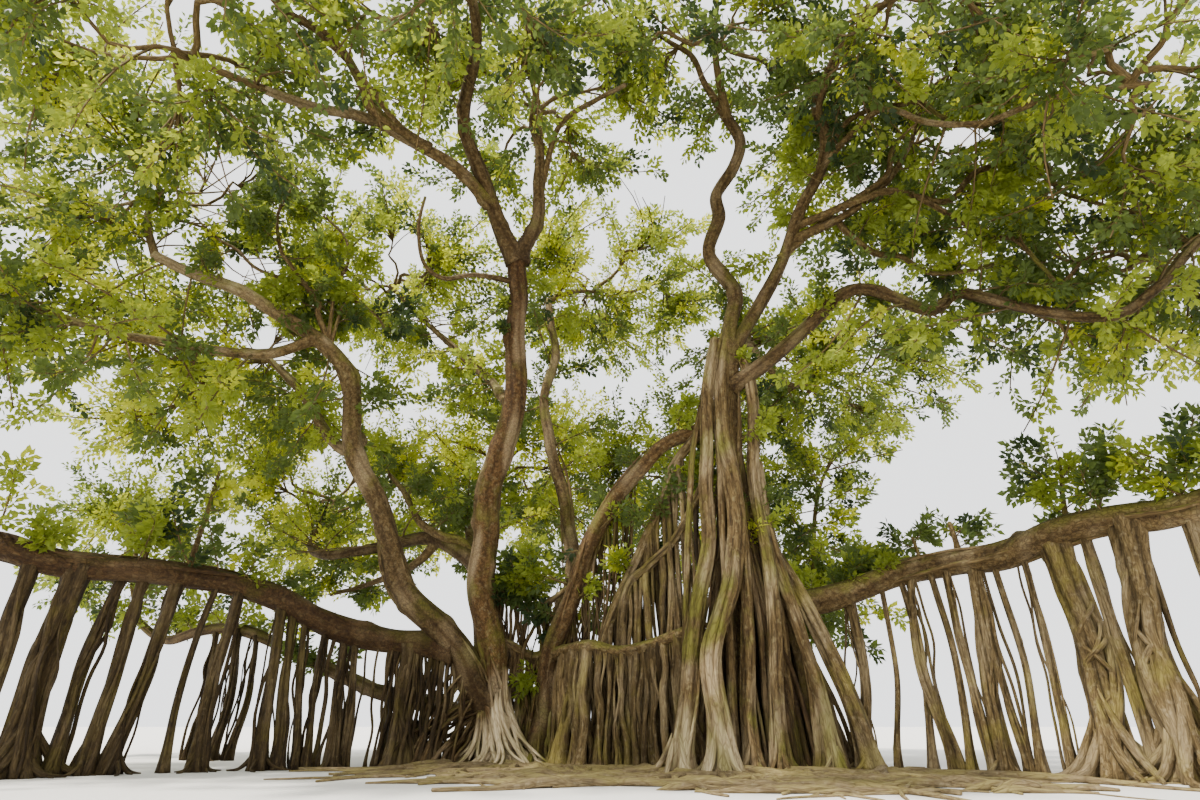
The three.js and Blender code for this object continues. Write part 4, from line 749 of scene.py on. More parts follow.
# Prop roots in groups: the bough, a seed, and for each root the x where it leaves the bough, its foot and
# its radius, in metres.
print("making the prop roots")
propRoots = {
    "left_roots_far": ("left_bough", 10, [
        (-13.4, -13.3, -7.15, 0.21), (-12.3, -12.15, -6.6, 0.15), (-11.3, -11.25, -6.05, 0.17)]),
    "left_roots_outer": ("left_bough", 20, [
        (-10.4, -10.25, -5.7, 0.14), (-9.7, -9.5, -5.2, 0.2), (-8.99, -8.75, -4.78, 0.3),
        (-8.29, -8.28, -4.38, 0.14), (-7.98, -7.95, -3.98, 0.14), (-7.43, -7.65, -3.65, 0.18)]),
    "left_roots_middle": ("left_bough", 30, [
        (-6.74, -6.76, -3.1, 0.075), (-6.33, -6.25, -2.8, 0.15), (-5.45, -5.15, -2.25, 0.165),
        (-5.2, -4.82, -2.05, 0.12), (-4.95, -4.5, -1.9, 0.1)]),
    "left_roots_inner": ("left_bough", 40, [
        (-4.5, -4.26, -1.75, 0.09), (-4.07, -3.82, -1.4, 0.13), (-3.85, -3.6, -1.2, 0.1),
        (-2.45, -2.15, -0.65, 0.22)]),
    "right_roots_inner": ("right_bough", 50, [
        (8.85, 8.72, -1.8, 0.16), (9.6, 9.26, -2.25, 0.06), (10.03, 9.95, -2.45, 0.075),
        (10.25, 10.35, -2.75, 0.12), (10.6, 10.56, -2.95, 0.075)]),
    "right_roots_middle": ("right_bough", 60, [
        (10.9, 10.95, -3.15, 0.09), (11.38, 11.15, -3.3, 0.16), (11.45, 11.48, -3.56, 0.085),
        (11.67, 11.62, -3.75, 0.075)]),
    "right_roots_outer": ("right_bough", 70, [
        (12.08, 11.9, -4.35, 0.095), (12.5, 12.27, -5.05, 0.33), (12.85, 12.71, -5.65, 0.13),
        (13.33, 12.95, -6.3, 0.34)]),
    "right_roots_far": ("right_bough", 80, [
        (13.9, 13.75, -7, 0.19), (14.5, 14.35, -7.8, 0.14), (15.1, 15, -8.5, 0.18)]),
    "back_left_roots": ("low_left_bough", 90, [
        (-9.7, -9.6, 3.1, 0.11), (-8.9, -8.8, 2.9, 0.15), (-8.2, -8.25, 2.8, 0.09)]),
}


# A prop root and what grows on and round it: strands that cling to it, thin roots beside it, and toes.
def propShapes(bough, x, foot, radius, seed, n, dark):
    share = shareAtX(bough, x)
    top = pointAlong(bough, share)
    bow = 0.5 * (chance(seed + n, 7) - 0.5)
    middle = (top + np.array([*foot, 0])) / 2
    dressed = radius > 0.08
    girth = radius * (0.76 if dressed else 1)
    # dark is painted shade, taken by the root and by all that grows on and round it.
    root = dict(kind="root", radius=girth, tip=girth, flare=0.8, shade=(dark, dark), bends=[
        tuple(top), (middle[0] + bow, middle[1] - 0.4 * bow, middle[2]),
        (foot[0] + 0.2 * bow, foot[1], 0.45), (*foot, -0.25)])
    shapes = [barkTube(root, 500 + seed * 3 + n)]
    if dressed:
        size, turns = radius * 0.22 + 0.015, 1.0 if radius > 0.25 else 0.5
        shapes.append(clinging(root, 3 + int(radius * 12), (0, 1), size, 600 + seed + n, turns))
        k = np.arange(3)
        tops = pointsAlong(bough, share + 0.018 * (chance(seed + 30 + n, k) - 0.5))
        turn = anyTurn(seed + 31 + 2 * n, k)
        feet = feetAt(foot[0] + 1.5 * radius * np.cos(turn), foot[1] + 1.5 * radius * np.sin(turn))
        thin = 0.018 + 0.025 * chance(seed + 32 + n, k)
        shapes.append(strands(tops, feet, thin, 660 + seed + n, sway=0.08, dark=dark + 0.1))
    if 0.12 < radius < 0.31:
        shapes.append(toes([foot], [radius], 720 + seed + n, 7, 3.2, (1.8, 3.6), 0.36, dark + 0.05))
    if radius > 0.31:
        shapes.append(clinging(root, 5, (0.2, 0.85), 0.05, 640 + seed + n, 5))
        shapes.append(toes([foot], [radius], 700 + seed + n, 9, 3.4, (2.2, 5.0), 0.4, dark + 0.05))
    return shapes


for name, (bough, seed, rows) in propRoots.items():
    dark = 0.1 if bough == "right_bough" else 0.78  # the left roots stand in the shade of the crown
    wood[name] = []
    for n, (x, footX, footY, radius) in enumerate(rows):
        wood[name] += propShapes(limbs[bough], x, (footX, footY), radius, seed, n, dark)

# The skirt of thin roots under the left stem: dense beside the trunk's foot, sparse further along its bough.
# Painted shade darkens its strands, and those of the mound under the left stem's foot.
skirt = dict(dense=44, sparse=7, mound=40)
k = np.arange(skirt["dense"] + skirt["sparse"])
further = (k - skirt["dense"]) / skirt["sparse"]
spot = np.where(k < skirt["dense"], 0.11 * k / skirt["dense"], 0.11 + 0.13 * further)
tops = pointsAlong(limbs["left_bough"], spot)
feet = feetAt(tops[:, 0] + 0.3 * (chance(52, k) - 0.5) - 0.1, tops[:, 1] - 0.45 + 1.1 * chance(53, k))
wood["left_roots_inner"].append(strands(tops, feet, 0.025 + 0.04 * chance(54, k), 55, dark=0.6))
k = np.arange(skirt["mound"])
tops = pointsAlong(limbs["left_stem"], 0.01 + 0.11 * chance(56, k))
tops[:, 1] += 0.5 * (chance(57, k) - 0.6)
feet = feetAt(-0.6 - 2.2 * chance(58, k), -0.5 + 1.1 * (chance(59, k) - 0.5))
wood["left_stem"].append(strands(tops, feet, 0.025 + 0.035 * chance(60, k), 155, lean=0.55, dark=0.45))

# How pale the patches of sun are on some pieces, and on the rest.
sunlit = {"pillar_trunk": 0.2, "main_trunk": 0.3, "left_stem": 0.22}
sunlitElsewhere = 0.15


# Sun on the bark: soft patches all over, and pale feet where it falls on the main trunk and the pillars.
def addSun(name, whole):
    x, y, z = whole["points"].T
    tint = whole["tint"]
    dapple = np.sin(3.1 * x + 0.9 * z) * np.sin(1.2 * z - 2.3 * x + 1.3 * y)
    dapple = dapple + 0.6 * np.sin(8.1 * x - 1.7 * z) * np.sin(2.3 * z + 6.1 * y)
    tint[:, 0] += sunlit.get(name, sunlitElsewhere) * np.clip((dapple - 0.1) / 0.6, 0, 1)
    if name == "main_trunk":
        patchy = 0.5 + 0.5 * np.sin(11 * x + 2 * z) * np.sin(3 * z - 5 * y + 1)
        half = 1.15 - 0.52 * z + 0.35 * (patchy - 0.5)
        low = np.clip((half - np.abs(x - 0.1)) / 0.3, 0, 1) * np.clip((0.5 - y) / 0.5, 0, 1)
        low = low * np.clip((2.1 - z) / 0.9, 0, 1)
        tint[:, 0] = np.maximum(tint[:, 0], low * (0.3 + 0.6 * patchy))
        tint[:, 1] *= 1 - low
    if name == "pillar_trunk":
        patchy = 0.5 + 0.5 * np.sin(9 * x + 3 * z) * np.sin(4 * z - 6 * y + 2)
        low = np.clip((1.5 - z) / 0.9, 0, 1) * np.clip((5.7 - x) / 0.5, 0, 1)
        low = low * np.clip((-3.3 - y) / 0.3, 0, 1)
        tint[:, 0] = np.maximum(tint[:, 0], low * (0.1 + 0.7 * patchy))


rootNodes = ["slanting_roots", "root_curtain", "fan_roots", "big_diagonal_root", *propRoots]
for name, shapes in wood.items():
    whole = joined(shapes)
    addSun(name, whole)
    skin, slot = (rootSkin, "root_bark") if name in rootNodes else (barkSkin, "bark")
    makePiece(f"{name}_bark", whole, skin, [name])

# Roots that creep over the ground: they leave the line of feet, wander to the front, to the back or across,
# and lie half sunk.
creeping = dict(front=140, back=46, across=80, points=32, reach=(1.4, 6.4), radius=(0.05, 0.13))
k = np.arange(creeping["front"] + creeping["back"] + creeping["across"])[:, None]
t = np.linspace(0, 1, creeping["points"])[None]
atFront = k < creeping["front"]
isAcross = k >= creeping["front"] + creeping["back"]
spot = chance(61, k)
hub = np.stack([-1.2 + 9.9 * spot, 0.1 - 3.4 * np.sin(1.9 * spot), 0 * spot], -1)
hub[..., 1] -= isAcross * (0.5 + 4.6 * chance(161, k) ** 0.8)
spread = chance(62, k) - 0.5
turn = np.where(atFront, -math.pi / 2 + 2.3 * spread, math.pi / 2 + 2.6 * spread)
turn = np.where(isAcross, math.pi * (chance(162, k) > 0.5) + 0.9 * spread, turn)
turn = turn + 0.7 * (chance(63, k) - 0.5) * t + 0.5 * np.sin(2.6 * t + anyTurn(69, k)) * t
turn = turn + 0.14 * np.sin(13 * t + anyTurn(64, k))
stride = within(creeping["reach"], 65, k, 1.1) * np.where(atFront, 1, 0.6) / (creeping["points"] - 1)
routes = np.repeat(hub, creeping["points"], axis=1)
routes[..., 0] += np.cumsum(stride * np.cos(turn), axis=1)
routes[..., 1] += np.cumsum(stride * np.sin(turn), axis=1)
width = within(creeping["radius"], 66, k, 1.5) * (1 - 0.75 * t)
width = width * np.minimum(1, np.where(isAcross, 0.06, 0.35) + 4 * t)
routes[..., 2] = width * (0.5 + 0.35 * np.sin(8 * t + anyTurn(67, k)))
creepingShape = tinted(tubeBatch(routes, width, 6, 68, ribs=2, ribDepth=0.1), pale=0.12, dark=0.05)
makePiece("creeping_roots", creepingShape, rootSkin)
print("creeping roots made")

# The masses of leaves: the limb each grows from, its middle, its reach, its branches and how its leaves are
# dealt among the greens, from bright to dark. The bright deal paints light on masses that the sun shines
# through, and the shaded deal paints shade on masses in shade.
bright, mixedGreen, shaded = (5, 5, 3, 1), (2, 5, 5, 2), (2, 4, 6, 4)
masses = {
    "leaves_left_high": ("left_stem", (-11.3, -3, 16.2), (5.6, 5.2, 3.8), 7, bright),
    "leaves_left_middle": ("left_stem_branch", (-11, 1.6, 11.9), (5.4, 5.2, 3.8), 6, bright),
    "leaves_far_left": ("far_left_bough", (-14, -6.2, 11), (4.6, 5.2, 3.6), 6, mixedGreen),
    "leaves_front_left": ("fork_side_bough", (-7.4, -9.2, 14.7), (5.2, 4.6, 3.2), 7, mixedGreen),
    "leaves_front_centre": ("fork_left_bough", (-0.9, -10, 15.5), (4.6, 4.2, 3), 6, mixedGreen),
    "leaves_centre_top": ("fork_right_bough", (0.6, -3.8, 18.8), (5, 4.8, 2.6), 7, mixedGreen),
    "leaves_back_top_left": ("back_fork_bough", (-6, 3.2, 17), (5.4, 5.6, 3.5), 7, bright),
    "leaves_back_top_right": ("slender_stem", (2.8, 4.6, 17.4), (5.4, 5.4, 3.4), 7, bright),
    "leaves_right_top": ("pillar_trunk", (5.6, -7, 18.5), (4.6, 4.6, 2.6), 6, shaded),
    "leaves_front_right": ("inner_right_bough", (9.4, -10, 15.6), (4.6, 4.2, 3.1), 6, shaded),
    "leaves_high_right": ("high_right_bough", (12, -3.8, 17), (5.2, 5.2, 3.3), 7, shaded),
    "leaves_right_front_low": ("front_right_bough", (14, -10, 12.6), (4.4, 4.2, 3.2), 6, shaded),
    "leaves_far_right": ("long_right_bough", (16.4, -4.7, 11.9), (4.2, 5, 3.6), 6, shaded),
    "leaves_back_right": ("back_right_bough", (11.2, 4.6, 13.3), (5.8, 5.4, 3.7), 7, mixedGreen),
    "leaves_back_left_low": ("back_left_bough", (-8.5, 8.5, 9.8), (5.8, 5.6, 4.2), 7, bright),
    "leaves_back_centre": ("back_centre_bough", (-1.5, 9.3, 11.2), (5.4, 5.6, 4.5), 7, bright),
    "leaves_back_right_low": ("back_low_bough", (5.7, 8.4, 10), (5.4, 5.4, 4.3), 7, mixedGreen),
    "leaves_left_bough_end": ("left_bough", (-15.6, -8, 6.7), (2.9, 3, 2.6), 4, mixedGreen),
    "leaves_right_bough_end": ("right_bough", (17, -10.2, 7.5), (2.7, 2.7, 2.5), 4, mixedGreen),
    "leaves_low_left": ("low_left_bough", (-14.5, 5.5, 7), (3.4, 3.6, 3), 4, mixedGreen),
}
foliage = dict(
    twigDensity=5.0, twigShell=(0.5, 1.04), twigletsEach=9, twigletLength=(0.45, 1.05), twigletRadius=0.009,
    stemPoints=10, twigPoints=6,
)
# Leaves for each twiglet, their length and their width as a share of it, on the masses nearest the eye and
# on the rest.
nearLeaf = dict(count=19, length=0.175, width=0.56)
farLeaf = dict(count=20, length=0.19, width=0.63)
middles, reaches = (np.array([mass[i] for mass in masses.values()]) for i in (1, 2))

# Boughs that grow on past the ends of the solid limbs, or leave them: their carrier and the share where they
# leave it, their radii, and their bends, in metres.
print("growing the twigs")
grownOn = {
    "pillar_top": (("pillar_trunk", 1), (0.125, 0.05), [
        (5.71, -5, 18.34), (5.32, -5.4, 19.04), (4.6, -5.8, 19.17), (4.12, -6.2, 18.99)]),
    "fork_top": (("fork_right_bough", 1), (0.115, 0.05), [
        (0.44, -4, 17.73), (0.59, -4.8, 18.11), (0.35, -6, 18.2)]),
    "fork_side_low": (("fork_side_bough", 0.42), (0.09, 0.04), [
        (-2.94, -6.6, 15.35), (-3.59, -8.2, 15.42), (-4.07, -9.6, 15.12)]),
    "high_right_end": (("high_right_bough", 1), (0.065, 0.035), [(11.72, -6, 16.94), (12.6, -6.3, 17.4)]),
    "fork_side_up": (("fork_side_bough", 0.36), (0.15, 0.08), [
        (-3.24, -6.7, 15.3), (-3.4, -7.08, 15.64), (-3.96, -7.56, 16.43), (-4.36, -8.04, 16.61),
        (-5.14, -8.52, 16.74), (-5.86, -9, 17.44)]),
    "right_wave": (("inner_right_bough", 0.6), (0.085, 0.04), [
        (9.09, -5.9, 15.63), (9.96, -6.14, 16.07), (10.43, -6.39, 15.9), (11.02, -6.63, 15.73),
        (11.33, -6.87, 14.99), (12.05, -7.11, 14.45), (12.78, -7.36, 14.65), (13.77, -7.6, 14.84)]),
    "right_level": (("inner_right_bough", 0.36), (0.12, 0.045), [
        (9, -3.97, 14.07), (9.47, -4.14, 13.45), (10.05, -4.31, 12.66), (10.69, -4.49, 12.45),
        (11.22, -4.66, 11.79), (11.97, -4.83, 11.67), (12.77, -5, 11.8)]),
    "right_winding": (("inner_right_bough", 0.47), (0.11, 0.045), [
        (9.74, -4.95, 13.96), (10.56, -5.19, 14.08), (11.66, -5.44, 13.49), (12.23, -5.68, 14.01),
        (12.57, -5.93, 14.16), (13.59, -6.17, 14.2), (13.79, -6.42, 13.88), (13.75, -6.66, 12.77),
        (14.23, -6.91, 12.22), (14.69, -7.15, 11.77), (15.25, -7.4, 11.33)]),
    "left_rise": (("left_stem", 0.6), (0.1, 0.035), [
        (-5.3, -3.31, 11.2), (-5.29, -3.43, 11.56), (-5.68, -3.54, 12.11), (-6.21, -3.66, 12.77),
        (-6.56, -3.77, 13.24), (-6.79, -3.89, 14.3), (-6.53, -4, 15.2)]),
    "arch_rise": (("main_trunk", 0.35), (0.16, 0.07), [
        (-1.4, 0.25, 5.75), (-1.98, 0.2, 5.91), (-2.87, 0.6, 6.46), (-3.53, 1, 7.43), (-4.3, 1.6, 8.3)]),
    "back_low_rise": (("back_low_bough", 0.5), (0.1, 0.045), [
        (9.5, 2.7, 6.3), (9.7, 2.3, 7.8), (10.4, 2, 9.2)]),
    "back_rise": (("back_left_bough", 0.22), (0.13, 0.06), [
        (-2.9, 1, 5.35), (-4.4, 2.4, 5.08), (-6.48, 4, 4.9)]),
}
offshoots = {  # thinner winding boughs that leave the ones above
    "right_pale": (("right_winding", 0.13), (0.1, 0.04), [
        (10.25, -5.2, 14.46), (10.54, -5.4, 15.24), (11.25, -5.6, 16.25), (11.78, -5.8, 17.07),
        (11.97, -6, 17.7)]),
    "right_droop": (("right_winding", 0.32), (0.075, 0.035), [
        (12.12, -5.87, 12.08), (12.7, -6.13, 11.71), (12.95, -6.4, 10.71), (13.06, -6.67, 10.07),
        (13.74, -6.93, 10.62), (14.41, -7.2, 10.57)]),
    "left_rise_inner": (("left_rise", 0.22), (0.065, 0.03), [
        (-4.91, -3.38, 12.14), (-4.7, -3.45, 12.92), (-4.89, -3.53, 13.81), (-5.61, -3.6, 14.54)]),
    "left_rise_side": (("left_rise", 0.2), (0.06, 0.03), [
        (-4.66, -3.23, 11.69), (-3.9, -3.17, 11.55), (-3.36, -3.1, 10.8)]),
    "left_rise_outer": (("left_rise", 0.5), (0.06, 0.03), [
        (-7.06, -3.7, 12.55), (-7.75, -3.8, 13.13), (-8.4, -3.9, 13.52), (-9.13, -4, 14.21)]),
}
uprights = {  # shoots and stubs that stand on the level boughs: the bough, x, height, radii, lean
    "left_shoot": ("left_bough", -8.05, 1.15, (0.06, 0.04), 0.1),
    "left_tall_shoot": ("left_bough", -7.3, 2.6, (0.075, 0.035), 0.2),
    "right_stub": ("right_bough", 10.5, 0.75, (0.055, 0.035), -0.1),
    "right_tall_stub": ("right_bough", 11.2, 0.95, (0.085, 0.05), -0.08),
    "right_shoot": ("right_bough", 12.7, 1.7, (0.07, 0.025), 0.25),
    "right_end_shoot": ("right_bough", 13.85, 1.2, (0.06, 0.025), 0.2),
}
for name, (bough, x, height, radii, lean) in uprights.items():
    share = shareAtX(limbs[bough], x)
    base = pointAlong(limbs[bough], share)
    bends = [tuple(base + [0.4 * lean, 0, 0.5 * height]), tuple(base + [lean, -0.2 * lean, height])]
    grownOn[name] = ((bough, share), radii, bends)
grownOn.update(offshoots)
carriers = dict(limbs)
grownShapes = []
for n, (name, ((carrier, share), (radius, tip), bends)) in enumerate(grownOn.items()):
    carriers[name] = dict(radius=radius, tip=tip, bends=[tuple(pointAlong(carriers[carrier], share)), *bends])
    grownShapes.append(barkTube(carriers[name], 830 + 9 * n))
makePiece("grown_on_boughs", joined(grownShapes), barkSkin)


# Curved routes from roots to ends: parabolas, each halfway off the straight line by its bow.
def bowed(roots, ends, points, bow):
    t = np.linspace(0, 1, points)[None, :, None]
    return roots[:, None] * (1 - t) + ends[:, None] * t + 4 * t * (1 - t) * bow[:, None]


# Directions spread evenly over a sphere by the golden angle.
def evenAims(count, phase):
    k = np.arange(count)
    rise = 1 - 2 * (k + 0.5) / count
    level = np.sqrt(1 - rise**2)
    turn = k * goldenAngle + phase
    return np.stack([level * np.cos(turn), level * np.sin(turn), rise], -1)


# Twigs end inside the CAD model's box, and twiglets a little way past it.
boxMargin, twigletsPast = 0.1, 0.45
boxLow, boxHigh = np.array(cadBox) + np.array([[boxMargin], [-boxMargin]])


# The stem of a mass, which goes on from its bough's tip, and branches from the stem to even places inside.
def stemAndBranches(bough, middle, reach, branches, seed):
    points = foliage["stemPoints"]
    tipPoint, before = np.array(bough["bends"][-1]), np.array(bough["bends"][-2])
    step = unit(tipPoint - before)
    stemEnd = tipPoint + (middle - tipPoint) * 0.85
    stemBend = (tipPoint + stemEnd) / 2 + 0.22 * step
    stemBends = [tipPoint - 0.5 * bough["tip"] * step, stemBend, stemEnd]
    stem = evenPoints(smoothRoute(stemBends, 12), np.linspace(0, 1, points))
    k = np.arange(branches)
    aim = evenAims(branches, anyTurn(seed, 0)) * reach
    ends = middle + aim * (0.5 + 0.14 * chance(seed, k + 1))[:, None]
    roots = stemBend + (stemEnd - stemBend) * (0.35 + 0.65 * chance(seed, k + 20))[:, None]
    span = np.linalg.norm(ends - roots, axis=1)[:, None]
    three = seed + np.arange(3)
    bow = span * 0.15 * ((chance(three + 71, k[:, None]) + [0, 0, 0.3]) * 2 - 1)
    t = np.linspace(0, 1, points)[None, :, None]
    wave = np.sin(9 * t + anyTurn(three + 74, k[:, None])[:, None])
    routes = bowed(roots, ends, points, bow) + 0.07 * span[:, None] * np.sin(np.pi * t) * wave
    return stem, routes, np.linspace(0.07, 0.028, points)[None] * (0.7 + 0.6 * chance(74, k))[:, None]


# The twigs of a mass reach even places near its surface, each from the nearest point of its stem or
# branches. A twig leaves along its branch and then turns: a curve of three points, root, control and tip.
def twigsOf(middle, reach, bearers, seed):
    count = round(foliage["twigDensity"] * reach.prod() ** (2 / 3))
    shell = within(foliage["twigShell"], seed + 5, np.arange(count), 0.6)[:, None]
    tips = np.clip(middle + evenAims(count, anyTurn(seed, 3)) * reach * shell, boxLow, boxHigh)
    spots = bearers[:, 2:].reshape(-1, 3)
    nearest = np.linalg.norm(tips[:, None] - spots, axis=2).argmin(1)
    perBearer = foliage["stemPoints"] - 2
    at = nearest // perBearer, np.maximum(nearest % perBearer, 1)
    roots, runs = bearers[at], framesAlong(bearers)[0][at]
    far = np.linalg.norm(tips - roots, axis=1)[:, None]
    control = roots + 0.45 * far * unit(runs + unit(tips - roots))
    t = np.linspace(0, 1, foliage["twigPoints"])[None, :, None]
    return (1 - t) ** 2 * roots[:, None] + 2 * t * (1 - t) * control[:, None] + t**2 * tips[:, None]


stemRoutes, stemRadii, branchRoutes, branchRadii, twigRoutes, twigMass = [], [], [], [], [], []
for n, (bough, middle, reach, branches, _) in enumerate(masses.values()):
    middle, reach = np.array(middle), np.array(reach)
    stem, routes, radii = stemAndBranches(limbs[bough], middle, reach, branches, 100 + 7 * n)
    stemRoutes.append(stem)
    stemRadii.append(np.linspace(limbs[bough]["tip"] * 0.95, 0.075, foliage["stemPoints"]))
    branchRoutes.append(routes)
    branchRadii.append(radii)
    twigRoutes.append(twigsOf(middle, reach, np.concatenate([stem[None], routes]), 100 + 7 * n))
    twigMass.append(np.full(len(twigRoutes[-1]), n))

# Leafy shoots that stand on the limbs: the limb, the shares between which they stand, how many, their length,
# and how far they rise or hang.
up, out, down = (0.2, 1.1), (-0.5, 0.7), (-1.4, 0.1)
limbShoots = [
    ("right_bough", (0.17, 0.32), 13, 1.2, up), ("right_bough", (0.3, 0.99), 18, 1.2, up),
    ("left_bough", (0.3, 0.99), 20, 1.5, up), ("pillar_trunk", (0.24, 0.6), 16, 1.0, up),
    ("diagonal_bough", (0.35, 1.0), 10, 0.9, up), ("left_stem", (0.35, 0.9), 8, 1.0, up),
    ("left_stem", (0.62, 1.0), 14, 2.4, down), ("slender_stem", (0.3, 0.95), 20, 1.9, out),
    ("back_left_bough", (0.3, 1.0), 20, 2.2, out), ("low_left_bough", (0.4, 1.0), 16, 1.8, up),
    ("back_low_bough", (0.34, 1.0), 36, 2.4, out), ("back_low_rise", (0.1, 1.0), 34, 2.2, out),
    ("long_right_bough", (0.2, 0.9), 12, 1.3, up), ("long_right_bough", (0.35, 1.0), 20, 2.6, down),
    ("front_right_bough", (0.5, 1.0), 8, 2.4, down), ("inner_right_bough", (0.3, 1.0), 7, 1.0, out),
    ("slanting_roots", (0.02, 0.5), 8, 0.8, up), ("main_trunk", (0.62, 0.98), 6, 0.8, up),
    ("back_fork_bough", (0.1, 1.0), 20, 2.4, out), ("back_centre_bough", (0.1, 1.0), 18, 2.4, out),
    ("left_stem_branch", (0.2, 1.0), 14, 2.2, out), ("back_right_bough", (0.2, 1.0), 22, 2.6, out),
    ("far_left_bough", (0.2, 1.0), 22, 2.8, down), ("arch_rise", (0.4, 1.0), 9, 1.5, out),
    ("fork_side_up", (0.2, 1.0), 14, 1.6, out), ("right_wave", (0.2, 1.0), 18, 1.3, out),
    ("right_level", (0.2, 1.0), 16, 1.3, out), ("right_winding", (0.15, 1.0), 26, 1.3, out),
    ("right_pale", (0.3, 1.0), 10, 1.2, out), ("right_droop", (0.2, 1.0), 12, 1.3, out),
    ("left_rise", (0.35, 1.0), 14, 1.2, out), ("left_rise_inner", (0.2, 1.0), 9, 1.0, out),
    ("left_rise_side", (0.2, 1.0), 8, 0.9, out), ("left_rise_outer", (0.2, 1.0), 10, 1.1, out),
    ("slender_stem", (0.12, 0.3), 10, 1.1, out), ("back_rise", (0.4, 1.0), 10, 1.4, out),
    ("left_shoot", (0.6, 1.0), 4, 0.5, up), ("left_tall_shoot", (0.5, 1.0), 8, 0.7, up),
    ("right_stub", (0.4, 1.0), 4, 0.6, up), ("right_tall_stub", (0.3, 1.0), 6, 0.8, up),
    ("right_shoot", (0.2, 1.0), 12, 1.1, up), ("right_end_shoot", (0.2, 1.0), 9, 1.0, up),
    ("tangle_root", (0.05, 0.95), 30, 1.4, up), ("diagonal_bough", (0.22, 0.62), 16, 1.1, out),
]
onUpright = [np.zeros(sum(map(len, twigRoutes)), bool)]
for n, (name, (first, last), count, length, lift) in enumerate(limbShoots):
    seed = 300 + 5 * n
    k = np.arange(count)
    roots = pointsAlong(carriers[name], steppedShares(first, last - first, count, seed), 12)
    turn = anyTurn(seed + 1, k)
    away = unit(np.stack([np.cos(turn), np.sin(turn), within(lift, seed + 2, k)], -1))
    ends = roots + away * (length * (0.5 + 0.9 * chance(seed + 3, k)))[:, None]
    bow = 0.12 * length * (chance(seed, k[:, None] + [9, 19, 29]) * 2 - 1)
    twigRoutes.append(bowed(roots, ends, foliage["twigPoints"], bow))
    twigMass.append(np.full(count, len(masses)))
    onUpright.append(np.full(count, name in uprights))
twigRoutes, twigMass, onUpright = map(np.concatenate, (twigRoutes, twigMass, onUpright))
onMass = twigMass < len(masses)
twigTone = chance(87, np.arange(len(twigRoutes)))
twigLengths = np.linalg.norm(np.diff(twigRoutes, axis=1), axis=2).sum(1)
twigRadii = np.linspace(1, 0.45, foliage["twigPoints"])[None] * (0.014 + 0.007 * twigLengths)[:, None]

# Twiglets: each leaves its twig at a share of its length, by the golden angle round it and leaning out.
each = foliage["twigletsEach"]
along, side, across = framesAlong(twigRoutes)
twigOf = np.repeat(np.arange(len(twigRoutes)), each)
order = np.tile(np.arange(each), len(twigRoutes))
k = np.arange(len(twigOf))
share = np.clip(0.2 + 0.8 * (order + 0.6 * chance(92, k)) / (each - 0.5), 0, 1)
at = share * (foliage["twigPoints"] - 1)
low = np.minimum(at.astype(int), foliage["twigPoints"] - 2)
root = twigRoutes[twigOf, low] + (at - low)[:, None] * (twigRoutes[twigOf, low + 1] - twigRoutes[twigOf, low])
outward = turned(order * goldenAngle + anyTurn(93, twigOf), side[twigOf, low], across[twigOf, low])
lean = (1.15 - 0.7 * share) * (0.75 + 0.5 * chance(98, k))
direction = unit(turned(lean, along[twigOf, low], outward) + [0, 0, 0.08])
length = within(foliage["twigletLength"], 99, k) * (1.1 - 0.25 * share)
length = np.where(onMass[twigOf], length, 0.6 * length)
ends = root + direction * length[:, None]
twigletMass = twigMass[twigOf]

# Where the photo shows sky, a twiglet is left out. Gaps are ellipses in the 1200 by 800 picture: the middle
# across and down, and the half width and height.
skyGaps = np.array([
    (965, 485, 92, 62), (1035, 462, 50, 38), (905, 520, 50, 34), (640, 192, 40, 20), (170, 246, 20, 18),
    (238, 268, 22, 20), (965, 135, 32, 14), (405, 255, 24, 24), (590, 85, 16, 16), (440, 330, 14, 20),
    (1150, 405, 30, 22), (221, 172, 38, 22), (256, 266, 26, 13), (350, 366, 26, 20), (268, 348, 28, 22),
    (197, 14, 22, 14), (215, 200, 14, 30),
])


# Where points lie in the picture and how far forward of the camera, and the picture's scale there.
def inPicture(points):
    tilt = math.radians(eye["pitch"])
    d = points - np.array(eye["place"])
    forward = d[:, 1] * math.cos(tilt) + d[:, 2] * math.sin(tilt)
    up = d[:, 2] * math.cos(tilt) - d[:, 1] * math.sin(tilt)
    scale = eye["wide"] * eye["lens"] / eye["sensor"] / np.maximum(forward, 0.1)
    spots = np.stack([eye["wide"] / 2 + d[:, 0] * scale, eye["high"] / 2 - up * scale], -1)
    return spots, forward, scale


every = np.arange(len(ends))
spot, forward, _ = inPicture((root + ends) / 2)
inGap = (((spot[:, None] - skyGaps[:, :2]) / skyGaps[:, 2:]) ** 2).sum(-1).min(1)
isOpen = inGap * (0.8 + 0.4 * chance(94, every)) > 1

# The photo shows the limbs through the crown, so most twiglets that would stand before a limb are left out.
perLimb = 60  # points tested on each limb
limbPoints = np.vstack([
    np.column_stack([
        pointsAlong(limb, np.linspace(0, 1, perLimb), 12), np.linspace(limb["radius"], limb["tip"], perLimb)])
    for limb in carriers.values()])
hiddenLimbs = (
    "tangle", "back_centre", "back_fork", "back_low", "back_right", "far_left", "low_left", "left_shoot",
    "right_end")
shown = np.repeat([not name.startswith(hiddenLimbs) for name in carriers], perLimb)
limbSpot, limbForward, limbScale = inPicture(limbPoints[shown, :3])
halfWidth = limbPoints[shown, 3] * limbScale + 6 + 30 * limbPoints[shown, 3]
clears = np.ones(len(ends), bool)
nearest = np.full(len(ends), 9.0)
for part in np.array_split(every, 24):
    off = np.linalg.norm(spot[part, None] - limbSpot, axis=2)
    clears[part] = ~((off < halfWidth) & (forward[part, None] < limbForward - 0.4)).any(1)
    gap = np.linalg.norm(ends[part, None] - limbPoints[:, :3], axis=2) - limbPoints[:, 3]
    nearest[part] = gap.min(1)
clears |= chance(88, every) < 0.14

